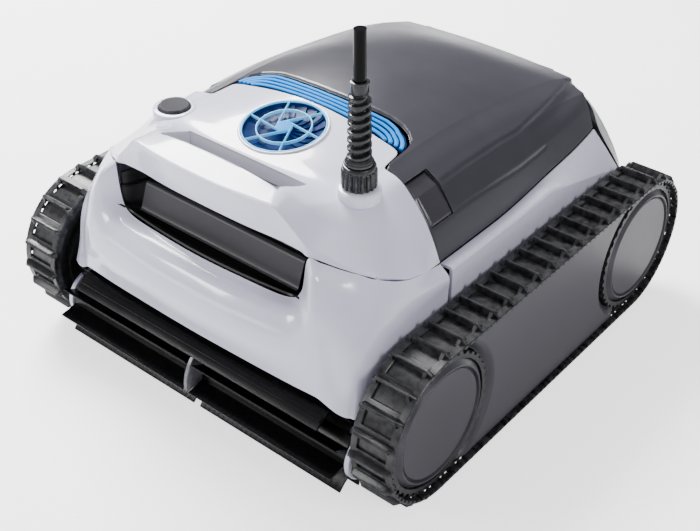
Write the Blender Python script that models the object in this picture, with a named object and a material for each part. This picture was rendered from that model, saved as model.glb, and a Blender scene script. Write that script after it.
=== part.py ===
"""Corded robotic pool cleaner: two rubber tracks, a front scrubbing brush, a
white shell with a carrying handle, a grey hinged filter lid and a top fan.

Frame: +X to the cleaner's right when it is seen from its front, -Y forwards,
+Z up.  The origin is on the floor, midway between the tracks and the axles.
Lengths are millimetres; make() turns every mesh into metres.
"""
import math

import bmesh
import bpy
import numpy as np
from mathutils import Matrix

MM = 0.001

# ---- driving dimensions ----------------------------------------------------
GAP = 0.3                      # between pieces that touch
WHEELBASE = 291.0              # front axle to rear axle
TRACK_WIDTH = 38.0
TRACK_CLEAR = 6.0              # body to the belt's inner edge
BELT_INNER_R = 60.0            # belt surface that runs on the wheels
BELT_THICK = 3.0
GROUSER_HEIGHT = 4.8
LINKS = 49
RAIL_INNER = 6.0               # belt rail on the body side
RAIL_OUTER = 7.0               # belt rail on the outer side
GROUSER_THICK = 3.4
CROSSBAR = 8.0                 # solid part of each link, along the belt

WHEEL_CLEAR = 1.6              # teeth to the belt's inner face
WHEEL_TOOTH = 2.0
WHEEL_TEETH = 41
WHEEL_WIDTH = 24.0
WHEEL_RIM = 3.8                # rim left between the teeth and the cap
CAP_BEVEL = 6.4
CAP_THICK = 7.6
CAP_PROUD = 1.5                # cap past the toothed rim
AXLE_R = 6.0
RING_GEAR_R = 39.6             # inner gear on the rear wheels
RING_HUB_R = 20.5
RING_GEAR_DEPTH = 8.0
PINION_R = 9.0
PINION_TEETH = 10
SHAFT_R = 3.0

COVER_CLEAR = 1.2              # side cover to the wheels' teeth
COVER_BELT_CLEAR = 2.0         # side cover to the belt's inner face
COVER_POST_Y, COVER_POST_R = 60.0, 7.0

BODY_X = 156.0                 # half width of the chassis
FRAME_THICK = 4.0
FRAME_CLEAR = 10.0             # side frame's edge to the belt
TUB_FRONT_STEP = 4.5           # tub's front wall behind the front axle
TUB_REAR_STEP = 28.5           # tub's rear wall behind the rear axle
TUB_BASE, TUB_TOP = 20.0, 105.0
TUB_WALL = 3.0
SHELL_WALL = 2.6
INTAKE_X0, INTAKE_X1 = 14.0, 86.0                        # suction slots in the base
INTAKE_Y0, INTAKE_Y1 = -14.0, 12.0
FLAP_LAP = 3.0                                           # flap past the slot's edges
SCREW_EDGE = 36.0
SCREW_FRONT, SCREW_REAR = 31.0, 34.0                     # screws from the tub's front and rear

MOTOR_LONG = 50.0              # drive motor inside the tub
BASKET_BASE, BASKET_TOP = 52.0, 150.0
BASKET_FRONT_STEP, BASKET_REAR_STEP = 95.0, 24.0         # basket from the tub's front and rear
BASKET_WALL = 2.5

SHOULDER_X = 90.0              # where the roof turns down
HINGE_STEP, HINGE_Z = 12.0, 180.5                        # lid hinge behind the tub
LID_WALL = 3.0
BAND_WALL = 2.4
SEAM_GAP = 1.2                 # between shells that open or meet in a line

LINER_WALL = 2.5
WELL_X, WELL_DEEP = 90.0, 36.5                           # pocket behind the handle slot
WELL_BASE, WELL_TOP = 146.0, 186.0
TROUGH_X, TROUGH_FRONT = 62.0, -22.0                     # opening above it, from the tub's front
HANDLE_GAP = 22.0

BRUSH_R = 36.0
BRUSH_CLEAR = 4.0              # fins to the tub
BRUSH_LIFT = 4.5               # fins to the floor
BRUSH_CORE_R = 20.0
BRUSH_FINS = 9
FIN_THICK = 2.4
FIN_START = math.radians(146)
BRUSH_HALF = 150.6
BRUSH_MIDDLE_GAP = 3.2
BRUSH_AXLE_R = 5.0
EAR_R = 22.0                   # end plate round the brush axle

FAN_STEP, FAN_Z = 53.5, 221.6                            # fan behind the front axle
FAN_TILT = math.radians(7.0)
FAN_R = 33.6
GRILLE_THICK = 3.0
DUCT_CLEAR = 2.4               # grille's edge to the duct's inside
DUCT_WALL = 2.5
PROP_CLEAR = 6.0               # blades to the duct's inside

PORT_X, PORT_STEP = 94.8, 28.5                           # gland on +X, button on -X
BUTTON_R = 12.7
BUTTON_TOP = 217.6
BUTTON_TRAVEL = 2.0
NUT_WALL = 8.6                 # nut outside the cable
GLAND_WALL = 5.0               # gland's neck outside the cable
NUT_BASE, NUT_TOP = 218.6, 237.0
RELIEF_TOP = 302.0
CABLE_R = 4.6
CABLE_START, CABLE_END = 204.0, 340.0

# ---- worked out from them --------------------------------------------------
TIP_R = BELT_INNER_R + BELT_THICK + GROUSER_HEIGHT
AXLE_Z = TIP_R
AXLE_Y = WHEELBASE / 2
TUB_FRONT, TUB_REAR = TUB_FRONT_STEP - AXLE_Y, AXLE_Y + TUB_REAR_STEP
TRACK_INNER_X = BODY_X + TRACK_CLEAR
TRACK_OUTER_X = TRACK_INNER_X + TRACK_WIDTH
WHEEL_TIP_R = BELT_INNER_R - WHEEL_CLEAR
WHEEL_ROOT_R = WHEEL_TIP_R - WHEEL_TOOTH
CAP_R = WHEEL_ROOT_R - WHEEL_RIM
CAP_DISC_R = CAP_R - CAP_BEVEL
FRAME_R = BELT_INNER_R - FRAME_CLEAR
FRAME_INNER_X = BODY_X + GAP
FRAME_OUTER_X = FRAME_INNER_X + FRAME_THICK
WHEEL_INNER_X = TRACK_INNER_X + 3.0
WHEEL_OUTER_X = WHEEL_INNER_X + WHEEL_WIDTH
CAP_OUTER_X = WHEEL_OUTER_X + GAP + CAP_THICK
RIM_OUTER_X = CAP_OUTER_X - CAP_PROUD
COVER_HALF_HEIGHT = BELT_INNER_R - COVER_BELT_CLEAR
COVER_R = WHEEL_TIP_R + COVER_CLEAR
COVER_REACH = AXLE_Y - math.sqrt(COVER_R ** 2 - COVER_HALF_HEIGHT ** 2)
PINION_OFFSET = RING_GEAR_R - PINION_R - 0.6
PINION_Y = AXLE_Y - PINION_OFFSET
MOTOR_FACE = BODY_X - TUB_WALL - GAP
BASKET_X = MOTOR_FACE - MOTOR_LONG - 2.7
BASKET_FRONT, BASKET_REAR = TUB_FRONT + BASKET_FRONT_STEP, TUB_REAR - BASKET_REAR_STEP
SCREW_PLACES = [(side * (BODY_X - SCREW_EDGE), y) for y in (TUB_FRONT + SCREW_FRONT, TUB_REAR - SCREW_REAR)
                for side in (-1, 1)]
HINGE_Y = TUB_REAR + HINGE_STEP
WELL_REAR = TUB_FRONT + 1.5
WELL_FRONT = WELL_REAR - WELL_DEEP
BRUSH_Y, BRUSH_Z = TUB_FRONT - BRUSH_CLEAR - BRUSH_R, BRUSH_R + BRUSH_LIFT
FAN_Y = FAN_STEP - AXLE_Y
DUCT_R = FAN_R + DUCT_CLEAR + DUCT_WALL
PROP_R = DUCT_R - DUCT_WALL - PROP_CLEAR
PORT_Y = PORT_STEP - AXLE_Y
NUT_R = CABLE_R + NUT_WALL
GLAND_R = CABLE_R + GLAND_WALL

# The shell's lines are drawn for this axle and body width; they follow a change.
LINES_AXLE_Y, LINES_BODY_X = 145.5, 156.0
LINES_FRONT, LINES_REAR = -50.0, 174.0                   # the lid stretches between these

# ---- finishes: colour, roughness, metallic ----------------------------------
WHITE = ((0.74, 0.74, 0.82), 0.25, 0.0)
LID_GREY = ((0.085, 0.085, 0.10), 0.35, 0.3)
COVER_GREY = ((0.10, 0.10, 0.115), 0.4, 0.2)
DARK = ((0.02, 0.02, 0.022), 0.5, 0.0)
RUBBER = ((0.012, 0.012, 0.012), 0.6, 0.0)
BLUE = ((0.10, 0.45, 0.85), 0.3, 0.0)
STEEL = ((0.6, 0.6, 0.62), 0.3, 1.0)
MOTOR = ((0.25, 0.25, 0.27), 0.4, 0.8)


# ---- tools -------------------------------------------------------------------
def look(obj, finish):
    """Give the object its own Principled material."""
    colour, rough, metal = finish
    mat = bpy.data.materials.new(obj.name)
    mat.use_nodes = True
    shader = mat.node_tree.nodes["Principled BSDF"]
    shader.inputs["Base Color"].default_value = (*colour, 1.0)
    shader.inputs["Roughness"].default_value = rough
    shader.inputs["Metallic"].default_value = metal
    obj.data.materials.append(mat)


def finish_mesh(name, bm, finish, pivot=(0, 0, 0), smooth=35.0):
    """Turn a millimetre bmesh into a metre object with its origin at pivot."""
    bmesh.ops.recalc_face_normals(bm, faces=bm.faces)
    bm.transform(Matrix.Scale(MM, 4) @ Matrix.Translation([-p for p in pivot]))
    mesh = bpy.data.meshes.new(name)
    bm.to_mesh(mesh)
    bm.free()
    obj = bpy.data.objects.new(name, mesh)
    obj.location = [p * MM for p in pivot]
    bpy.context.scene.collection.objects.link(obj)
    mesh.shade_smooth()
    mesh.set_sharp_from_angle(angle=math.radians(smooth))
    look(obj, finish)
    return obj


def make(name, verts, faces, finish, pivot=(0, 0, 0), smooth=35.0):
    """A closed mesh from points and faces, welded and turned outwards."""
    bm = bmesh.new()
    points = [bm.verts.new(v) for v in verts]
    for face in faces:
        bm.faces.new([points[i] for i in face])
    bmesh.ops.remove_doubles(bm, verts=bm.verts, dist=1e-4)
    return finish_mesh(name, bm, finish, pivot, smooth)


def place(axis, u, v, w):
    """A point from plate coordinates u, v and the height w along the axis."""
    return {"x": (w, u, v), "y": (u, w, v), "z": (u, v, w)}[axis]


def plate(name, outline, axis, low, high, finish, holes=(), pivot=(0, 0, 0)):
    """An outline with holes, extruded from low to high along an axis."""
    bm = bmesh.new()
    edges = []
    for loop in [outline, *holes]:
        points = [bm.verts.new(place(axis, u, v, low)) for u, v in loop]
        edges += [bm.edges.new((a, b)) for a, b in zip(points, points[1:] + points[:1])]
    fill = bmesh.ops.triangle_fill(bm, edges=edges, use_beauty=True, use_dissolve=False)
    faces = [g for g in fill["geom"] if isinstance(g, bmesh.types.BMFace)]
    grown = bmesh.ops.extrude_face_region(bm, geom=faces)
    moved = [g for g in grown["geom"] if isinstance(g, bmesh.types.BMVert)]
    bmesh.ops.translate(bm, verts=moved, vec=place(axis, 0, 0, high - low))
    return finish_mesh(name, bm, finish, pivot)


def lathe(name, profile, centre, axis, finish, segments=28, pivot=(0, 0, 0)):
    """A closed profile of (radius, height) points turned round an axis."""
    verts, rings = [], []
    for radius, height in profile:
        ring = []
        for i in range(1 if radius == 0 else segments):
            turn = 2 * math.pi * i / segments
            u, v = radius * math.cos(turn), radius * math.sin(turn)
            ring.append(len(verts))
            offset = place(axis, u, v, height)
            verts.append([c + o for c, o in zip(centre, offset)])
        rings.append(ring)
    faces = []
    for a, b in zip(rings, rings[1:] + rings[:1]):
        for i in range(segments):
            j = (i + 1) % segments
            if len(a) > 1 and len(b) > 1:
                faces.append((a[i], a[j], b[j], b[i]))
            elif len(a) > 1:
                faces.append((a[i], a[j], b[0]))
            elif len(b) > 1:
                faces.append((b[i], b[j], a[0]))
    return make(name, verts, faces, finish, pivot)


def rings(name, loops, finish, pivot=(0, 0, 0)):
    """A solid through equal rings of points, capped at the first and last."""
    count = len(loops[0])
    verts = [p for loop in loops for p in loop]
    faces = [tuple(range(count)), tuple((len(loops) - 1) * count + i for i in range(count))]
    for r in range(len(loops) - 1):
        for i in range(count):
            j = (i + 1) % count
            faces.append((r * count + i, r * count + j, (r + 1) * count + j, (r + 1) * count + i))
    return make(name, verts, faces, finish, pivot)


def circle(cu, cv, radius, count=24, start=0.0, stop=360.0):
    """Points on a circle or, with an end angle, on an arc that includes it."""
    whole = stop - start >= 360.0
    steps = count if whole else count - 1
    turns = [math.radians(start + (stop - start) * i / steps) for i in range(count)]
    return [(cu + radius * math.cos(t), cv + radius * math.sin(t)) for t in turns]


def rounded(u0, v0, u1, v1, radius, count=3):
    """A rectangle with rounded corners, anticlockwise."""
    corners = [(u1 - radius, v1 - radius, 0), (u0 + radius, v1 - radius, 90),
               (u0 + radius, v0 + radius, 180), (u1 - radius, v0 + radius, 270)]
    points = []
    for cu, cv, angle in corners:
        points += circle(cu, cv, radius, count, angle, angle + 90)
    return points


def hull(circles, count=40):
    """The convex outline round several (u, v, radius) circles."""
    points = sorted(p for cu, cv, r in circles for p in circle(cu, cv, r, count))

    def half(seq):
        line = []
        for p in seq:
            while len(line) > 1 and np.cross(np.subtract(line[-1], line[-2]), np.subtract(p, line[-1])) <= 1e-6:
                line.pop()
            line.append(p)
        return line[:-1]
    return half(points) + half(points[::-1])


def cutter(obj):
    """Mark an object as a cutter, which is not a piece."""
    obj.hide_render = True
    obj.display_type = "WIRE"
    return obj


def cut(obj, tool, operation="DIFFERENCE"):
    """Cut, or join, the object with a hidden tool."""
    cutter(tool)
    mod = obj.modifiers.new(tool.name, "BOOLEAN")
    mod.operation = operation
    mod.object = tool
    mod.solver = "EXACT"
    return obj


def smooth_line(points, parts):
    """Catmull-Rom curve through rows of points along the first axis."""
    points = np.asarray(points, float)
    ends = [2 * points[0] - points[1], *points, 2 * points[-1] - points[-2]]
    out = []
    for i in range(1, len(ends) - 2):
        a, b, c, d = ends[i - 1:i + 3]
        for k in range(parts):
            t = k / parts
            out.append(0.5 * (2 * b + (c - a) * t + (2 * a - 5 * b + 4 * c - d) * t * t
                              + (3 * b - a - 3 * c + d) * t ** 3))
    out.append(ends[-2])
    return np.array(out)


def mirrored(half):
    """Rows of points from the middle outwards, completed on the -X side."""
    half = np.asarray(half, float)
    return np.concatenate([half[:, :0:-1] * (-1, 1, 1), half], axis=1)


def shell(name, grid, wall, finish, pivot=(0, 0, 0), proud=0.0):
    """A sheet of outer points, lifted by proud, given a wall towards the inside of the body."""
    grid = np.asarray(grid, float)
    du, dv = np.gradient(grid, axis=0), np.gradient(grid, axis=1)
    normal = np.cross(du, dv)
    normal /= np.linalg.norm(normal, axis=2, keepdims=True)
    middle = grid.reshape(-1, 3).mean(axis=0) - (0, 0, 60)
    if (normal * (grid - middle)).sum() < 0:
        normal = -normal
    inner = grid - wall * normal
    grid = grid + proud * normal
    rows, cols = grid.shape[:2]
    verts = np.concatenate([grid.reshape(-1, 3), inner.reshape(-1, 3)])
    half = rows * cols

    def at(r, c, side):
        return side * half + r * cols + c
    faces = []
    for r in range(rows - 1):
        for c in range(cols - 1):
            for side in (0, 1):
                quad = (at(r, c, side), at(r, c + 1, side), at(r + 1, c + 1, side), at(r + 1, c, side))
                faces.append(quad if side else quad[::-1])
    border = [(0, c) for c in range(cols)] + [(r, cols - 1) for r in range(1, rows)]
    border += [(rows - 1, c) for c in range(cols - 2, -1, -1)] + [(r, 0) for r in range(rows - 2, 0, -1)]
    for (r0, c0), (r1, c1) in zip(border, border[1:] + border[:1]):
        faces.append((at(r0, c0, 0), at(r1, c1, 0), at(r1, c1, 1), at(r0, c0, 1)))
    return make(name, verts, faces, finish, pivot)


def side_name(stem, side):
    return f"{stem}_{'right' if side > 0 else 'left'}"


# ---- body shape: the roof, its shoulders and the seam line -------------------
ROOF_MIDDLE = [(-150, 215), (-92, 221.5), (-46, 227.5), (0, 229), (60, 224.5), (120, 211), (187, 184.5)]
ROOF_SHOULDER = [(-150, 212), (-82, 214), (0, 214), (33, 211), (73, 206), (115, 200), (145, 194), (187, 181)]
SIDE_DROP = [(0, 0), (3, 14), (10, 24), (26, 38), (40, 46), (60, 54)]   # fall, reach beyond the shoulder
SEAM_HEIGHT = [(-84, 154.5), (26, 155), (73, 157), (123, 158), (160, 159)]
CREASE_HEIGHT = [(-90, 157), (51, 155.5), (135, 133), (175, 120)]


def read(table, at):
    return float(np.interp(at, *zip(*table)))


def along(y):
    """Where a drawn y falls: the front and the back keep their shape, the lid stretches."""
    share = (y - LINES_FRONT) / (LINES_REAR - LINES_FRONT)
    return y + (AXLE_Y - LINES_AXLE_Y) * max(-1.0, min(1.0, 2 * share - 1))


def beside(x):
    """Where a drawn x falls: the roof keeps its width, the sides stretch."""
    beyond = max(0.0, abs(x) - SHOULDER_X)
    return x + math.copysign(beyond * (BODY_X - LINES_BODY_X) / (LINES_BODY_X - SHOULDER_X), x)


def drawn(rows):
    return [[(beside(x), along(y), z) for x, y, z in row] for row in rows]


def roof_point(across, y):
    """Roof or side point at a drawn y: across is -1..1 over the roof, up to 2 down the side."""
    shoulder = read(ROOF_SHOULDER, y)
    reach = abs(across)
    if reach <= 1:
        crown = read(ROOF_MIDDLE, y) - shoulder
        point = (SHOULDER_X * reach, y, shoulder + crown * (1 - reach ** 2))
    else:
        fall = (shoulder - read(SEAM_HEIGHT, y)) * (reach - 1) ** 1.5
        point = (SHOULDER_X + read(SIDE_DROP, fall), y, shoulder - fall)
    return (math.copysign(beside(point[0]), across) if across else 0.0, along(y), point[2])


ACROSS = [0.0, 0.3, 0.63, 0.855, 0.93, 0.985, 1.02, 1.2, 1.39, 1.7, 2.0]
LID_FRONT = [(0, -36.5), (0.3, -35.5), (0.63, -32), (0.755, -33), (0.855, -36.5), (0.93, -42.5), (0.985, -77),
             (1.02, -81), (1.3, -83), (2.0, -83)]
LID_REAR = [(0, 182.5), (1.0, 182.5), (1.12, 179), (1.3, 173), (1.55, 167), (2.0, 156)]
BAND_ACROSS = [0.0, 0.3, 0.63, 0.8, 0.92]
BAND_FRONT = [(0, -55), (0.92, -56)]
BAND_REAR = [(0, -39), (0.3, -38), (0.63, -34.5), (0.8, -37.5), (0.92, -46)]
BAND_SINK = 0.8                # the band sits this far under the roof
LATCH_Y0, LATCH_Y1 = -79.0, -54.0
LATCH_TOP, LATCH_LOW = 1.22, 1.7


def lid_grid(rows=11, lift=0.0):
    half = []
    for r in range(rows):
        share = r / (rows - 1)
        line = []
        for a in ACROSS:
            front, rear = read(LID_FRONT, a), read(LID_REAR, a)
            x, y, z = roof_point(a, front + (rear - front) * share)
            line.append((x, y, z + lift))
        half.append(line)
    return mirrored(half)


# ---- pieces ------------------------------------------------------------------
def chassis():
    outer = rounded(-BODY_X, TUB_FRONT, BODY_X, TUB_REAR, 8)
    inner = rounded(-BODY_X + TUB_WALL, TUB_FRONT + TUB_WALL, BODY_X - TUB_WALL, TUB_REAR - TUB_WALL, 5)
    chamfer = rounded(-BODY_X + 6, TUB_FRONT + 6, BODY_X - 6, TUB_REAR - 6, 8)
    loops = [[(x, y, TUB_BASE) for x, y in chamfer], [(x, y, TUB_BASE + 6) for x, y in outer],
             [(x, y, TUB_TOP) for x, y in outer], [(x, y, TUB_TOP) for x, y in inner],
             [(x, y, TUB_BASE + 9) for x, y in inner],
             [(x * 0.96, y * 0.98, TUB_BASE + TUB_WALL) for x, y in inner]]
    tray = rings("chassis_tray", loops, DARK)
    for side in (-1, 1):
        tag = side_name("tray", side)
        low, high = sorted((side * INTAKE_X0, side * INTAKE_X1))
        slot = plate(f"{tag}_intake_cut", rounded(low, INTAKE_Y0, high, INTAKE_Y1, 5), "z",
                     TUB_BASE - 5, TUB_BASE + 8, DARK)
        cut(tray, slot)
        low, high = sorted((side * (BODY_X - 10), side * (BODY_X + 10)))
        bore = plate(f"{tag}_shaft_cut", circle(PINION_Y, AXLE_Z, SHAFT_R + GAP, 12), "x", low, high, DARK)
        cut(tray, bore)
    for i, (x, y) in enumerate(SCREW_PLACES):
        lathe(f"base_screw_{i + 1}", [(0, -2.6), (3.6, -2.4), (4.6, -1.2), (4.6, -GAP), (0, -GAP)],
              (x, y, TUB_BASE), "z", STEEL, 12)


def side_frames():
    for side in (-1, 1):
        outline = hull([(-AXLE_Y, AXLE_Z, FRAME_R), (AXLE_Y, AXLE_Z, FRAME_R), (BRUSH_Y, BRUSH_Z, 12)])
        holes = [circle(-AXLE_Y, AXLE_Z, AXLE_R + GAP, 16), circle(AXLE_Y, AXLE_Z, AXLE_R + GAP, 16),
                 circle(PINION_Y, AXLE_Z, SHAFT_R + GAP, 12)]
        low, high = sorted((side * FRAME_INNER_X, side * FRAME_OUTER_X))
        plate(side_name("side_frame", side), outline, "x", low, high, DARK, holes)


def track_path(s):
    """Middle of the belt's inner face at s, and its outward direction."""
    straight = WHEELBASE
    arc = math.pi * (BELT_INNER_R + BELT_THICK / 2)
    s %= 2 * (straight + arc)
    if s < straight:
        return (-AXLE_Y + s, AXLE_Z), (0.0, 1.0)
    if s < straight + arc:
        turn = math.pi / 2 - math.pi * (s - straight) / arc
        return (AXLE_Y, AXLE_Z), (math.cos(turn), math.sin(turn))
    s -= straight + arc
    if s < straight:
        return (AXLE_Y - s, AXLE_Z), (0.0, -1.0)
    turn = -math.pi / 2 - math.pi * (s - straight) / arc
    return (-AXLE_Y, AXLE_Z), (math.cos(turn), math.sin(turn))


def tracks():
    """Belt of ladder links: two rails, a crossbar and a grouser on each."""
    length = 2 * WHEELBASE + 2 * math.pi * (BELT_INNER_R + BELT_THICK / 2)
    pitch = length / LINKS
    xs = [TRACK_INNER_X, TRACK_INNER_X + RAIL_INNER, TRACK_OUTER_X - RAIL_OUTER, TRACK_OUTER_X]
    heights = [BELT_INNER_R, BELT_INNER_R + BELT_THICK, TIP_R]
    stations = [k * pitch + step for k in range(LINKS) for step in (0.0, GROUSER_THICK, CROSSBAR)]
    verts = []
    for s in stations:
        (cy, cz), (ny, nz) = track_path(s)
        for h in heights:
            verts += [(x, cy + ny * h, cz + nz * h) for x in xs]
    total = len(stations)

    def at(row, level, col):
        return (row % total) * 12 + level * 4 + col
    faces = []

    def across(row, level, cols):
        for c in cols:
            faces.append((at(row, level, c), at(row, level, c + 1), at(row + 1, level, c + 1), at(row + 1, level, c)))

    def rise(row, level, c):
        faces.append((at(row, level, c), at(row, level, c + 1), at(row, level + 1, c + 1), at(row, level + 1, c)))

    def wall(row, level, c):
        faces.append((at(row, level, c), at(row + 1, level, c), at(row + 1, level + 1, c), at(row, level + 1, c)))
    for k in range(LINKS):
        row = 3 * k
        across(row, 0, (0, 1, 2))
        across(row + 1, 0, (0, 1, 2))
        across(row + 2, 0, (0, 2))
        across(row, 2, (0, 1, 2))
        across(row + 1, 1, (0, 1, 2))
        across(row + 2, 1, (0, 2))
        for c in (0, 1, 2):
            rise(row, 1, c)
            rise(row + 1, 1, c)
        rise(row + 2, 0, 1)
        rise(row + 3, 0, 1)
        for c in (0, 3):
            for step in (0, 1, 2):
                wall(row + step, 0, c)
            wall(row, 1, c)
        wall(row + 2, 0, 1)
        wall(row + 2, 0, 2)
    for side in (-1, 1):
        points = [(side * x, y, z) for x, y, z in verts]
        used = sorted({i for f in faces for i in f})
        index = {old: new for new, old in enumerate(used)}
        make(side_name("track", side), [points[i] for i in used],
             [tuple(index[i] for i in f) for f in faces], RUBBER)


def gear_outline(cu, cv, root, tip, teeth):
    """Teeth with a flat tip and a flat root."""
    points = []
    for i in range(teeth):
        for share, radius in ((0.0, root), (0.3, root), (0.5, tip), (0.8, tip)):
            turn = 2 * math.pi * (i + share) / teeth
            points.append((cu + radius * math.cos(turn), cv + radius * math.sin(turn)))
    return points


def wheels():
    for side in (-1, 1):
        for end, y in (("front", -AXLE_Y), ("rear", AXLE_Y)):
            tag = side_name(end, side)
            low, high = sorted((side * WHEEL_INNER_X, side * RIM_OUTER_X))
            pivot = (0, y, AXLE_Z)
            wheel = plate(f"wheel_{tag}", gear_outline(y, AXLE_Z, WHEEL_ROOT_R, WHEEL_TIP_R, WHEEL_TEETH),
                          "x", low, high, DARK, [circle(y, AXLE_Z, AXLE_R + GAP, 16)], pivot)
            seat = [(0, WHEEL_OUTER_X), (CAP_R + 2 * GAP, WHEEL_OUTER_X), (CAP_R + 2 * GAP, RIM_OUTER_X + 2),
                    (0, RIM_OUTER_X + 2)]
            seat = [(r, side * h) for r, h in seat]
            cut(wheel, lathe(f"wheel_{tag}_cap_seat", seat, pivot, "x", DARK, 36))
            if end == "rear":
                depth = RING_GEAR_DEPTH
                profile = [(RING_HUB_R, -2.0), (RING_GEAR_R, -2.0), (RING_GEAR_R, depth), (RING_HUB_R, depth)]
                profile = [(r, side * h) for r, h in profile]
                recess = lathe(f"wheel_{tag}_gear_cut", profile, (side * WHEEL_INNER_X, y, AXLE_Z), "x", DARK, 32)
                cut(wheel, recess)
            base = WHEEL_OUTER_X + GAP
            profile = [(0, base), (CAP_R - 1, base), (CAP_R, base + 1), (CAP_R, base + 4),
                       (CAP_DISC_R + 1.5, CAP_OUTER_X), (CAP_DISC_R, CAP_OUTER_X - 1.4), (0, CAP_OUTER_X - 1.0)]
            lathe(f"hub_cap_{tag}", [(r, side * h) for r, h in profile], pivot, "x", COVER_GREY, 36, pivot)
            profile = [(0, BODY_X + 0.5), (AXLE_R, BODY_X + 0.5), (AXLE_R, WHEEL_OUTER_X - 1), (0, WHEEL_OUTER_X - 1)]
            lathe(f"axle_pin_{tag}", [(r, side * h) for r, h in profile], (0, y, AXLE_Z), "x", STEEL, 16)


def drives():
    for side in (-1, 1):
        pivot = (0, PINION_Y, AXLE_Z)
        face, end = MOTOR_FACE, MOTOR_FACE - MOTOR_LONG
        profile = [(0, end), (8, end), (8, end + 3), (18, end + 4), (18, face - 10.7), (12, face - 9.7), (12, face),
                   (0, face)]
        lathe(side_name("drive_motor", side), [(r, side * h) for r, h in profile], pivot, "x", MOTOR, 20)
        start, gear0 = MOTOR_FACE + GAP, FRAME_OUTER_X + 0.8
        gear1 = WHEEL_INNER_X + RING_GEAR_DEPTH - 1.0
        loops = []
        for x, root, tip in ((start, SHAFT_R, SHAFT_R), (gear0, SHAFT_R, SHAFT_R),
                             (gear0 + 0.01, PINION_R - 2, PINION_R), (gear1, PINION_R - 2, PINION_R)):
            loops.append([(side * x, u, v) for u, v in gear_outline(PINION_Y, AXLE_Z, root, tip, PINION_TEETH)])
        rings(side_name("drive_pinion", side), loops, STEEL, pivot)


def side_covers():
    """Panel between the wheels, cut round the hub caps, on two posts."""
    spread = math.acos((AXLE_Y - COVER_REACH) / COVER_R)
    turns = np.linspace(-spread, spread, 17)
    rear_edge = [(AXLE_Y - COVER_R * math.cos(t), AXLE_Z + COVER_R * math.sin(t)) for t in turns]
    outline = rear_edge + [(-y, 2 * AXLE_Z - z) for y, z in rear_edge]
    base, top = WHEEL_OUTER_X + GAP, CAP_OUTER_X - 0.4
    for side in (-1, 1):
        low, high = sorted((side * base, side * top))
        name = side_name("side_cover", side)
        cover = plate(name, outline, "x", low, high, COVER_GREY)
        for k, y in enumerate((-COVER_POST_Y, COVER_POST_Y)):
            low, high = sorted((side * (FRAME_OUTER_X + GAP), side * (base + 2)))
            post = plate(f"{name}_post_{k}", circle(y, AXLE_Z, COVER_POST_R, 12), "x", low, high, COVER_GREY)
            cut(cover, post, "UNION")


def brushes():
    for side in (-1, 1):
        outline = []
        for i in range(BRUSH_FINS):
            turn = FIN_START + 2 * math.pi * i / BRUSH_FINS
            half_core = FIN_THICK / 2 / BRUSH_CORE_R
            half_tip = FIN_THICK / 2 / BRUSH_R
            step = 2 * math.pi / BRUSH_FINS
            for angle, radius in ((-half_core, BRUSH_CORE_R), (-half_tip, BRUSH_R), (half_tip, BRUSH_R),
                                  (half_core, BRUSH_CORE_R), (step / 2, BRUSH_CORE_R)):
                outline.append((BRUSH_Y + radius * math.cos(turn + angle), BRUSH_Z + radius * math.sin(turn + angle)))
        low, high = sorted((side * BRUSH_MIDDLE_GAP, side * BRUSH_HALF))
        plate(side_name("brush", side), outline, "x", low, high, RUBBER,
              [circle(BRUSH_Y, BRUSH_Z, BRUSH_AXLE_R + GAP, 16)], (0, BRUSH_Y, BRUSH_Z))
        back = TUB_FRONT - 5
        ear = circle(BRUSH_Y, BRUSH_Z, EAR_R, 16, 60, 320) + [(back, BRUSH_Z + 3.5), (back, BRUSH_Z + 25.5)]
        low, high = sorted((side * (BRUSH_HALF + 1.0), side * BODY_X))
        plate(side_name("brush_end_plate", side), ear, "x", low, high, WHITE,
              [circle(BRUSH_Y, BRUSH_Z, BRUSH_AXLE_R + GAP, 16)])
    lathe("brush_axle", [(0, -BODY_X), (BRUSH_AXLE_R, -BODY_X), (BRUSH_AXLE_R, BODY_X), (0, BODY_X)],
          (0, BRUSH_Y, BRUSH_Z), "x", STEEL, 16)
    hood = circle(BRUSH_Y, BRUSH_Z, BRUSH_R + 5.2, 12, 50, 135)[::-1]
    hood += [(TUB_FRONT - GAP, BRUSH_Z + 35.5), (TUB_FRONT - GAP, BRUSH_Z + 33)]
    hood += circle(BRUSH_Y, BRUSH_Z, BRUSH_R + 3, 12, 50, 135)
    plate("brush_hood", hood, "x", -BODY_X + 24, BODY_X - 24, DARK)
    strap = circle(BRUSH_Y, BRUSH_Z, BRUSH_R + 1.5, 14, 60, 200) + circle(BRUSH_Y, BRUSH_Z, 11, 14, 215, 405)
    plate("brush_strap", strap, "x", -BRUSH_MIDDLE_GAP + 0.6, BRUSH_MIDDLE_GAP - 0.6, WHITE,
          [circle(BRUSH_Y, BRUSH_Z, BRUSH_AXLE_R + GAP, 16)])


def lid_and_latches():
    pivot = (0, HINGE_Y, HINGE_Z)
    lid = shell("lid", lid_grid(), LID_WALL, LID_GREY, pivot)
    for side in (-1, 1):
        tag = side_name("lid_latch", side)

        def patch(margin):
            rows = []
            for y in np.linspace(LATCH_Y0 - margin, LATCH_Y1 + margin, 4):
                row = []
                for a in np.linspace(LATCH_TOP - margin * 0.012, LATCH_LOW + margin * 0.012, 6):
                    x, yy, z = roof_point(a, y)
                    row.append((side * x, yy, z))
                rows.append(row)
            return np.array(rows)
        cut(lid, shell(f"{tag}_cut", patch(0.8), LID_WALL + 5, LID_GREY, proud=5))
        shell(tag, patch(0.0), LID_WALL, LID_GREY, proud=-0.4)
    profile = [(0, -70), (2, -70), (2, 70), (0, 70)]
    lathe("lid_hinge_pin", profile, pivot, "x", STEEL, 10)


def seam_point(y):
    x, _, z = roof_point(2.0, y)
    return x, z


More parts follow.
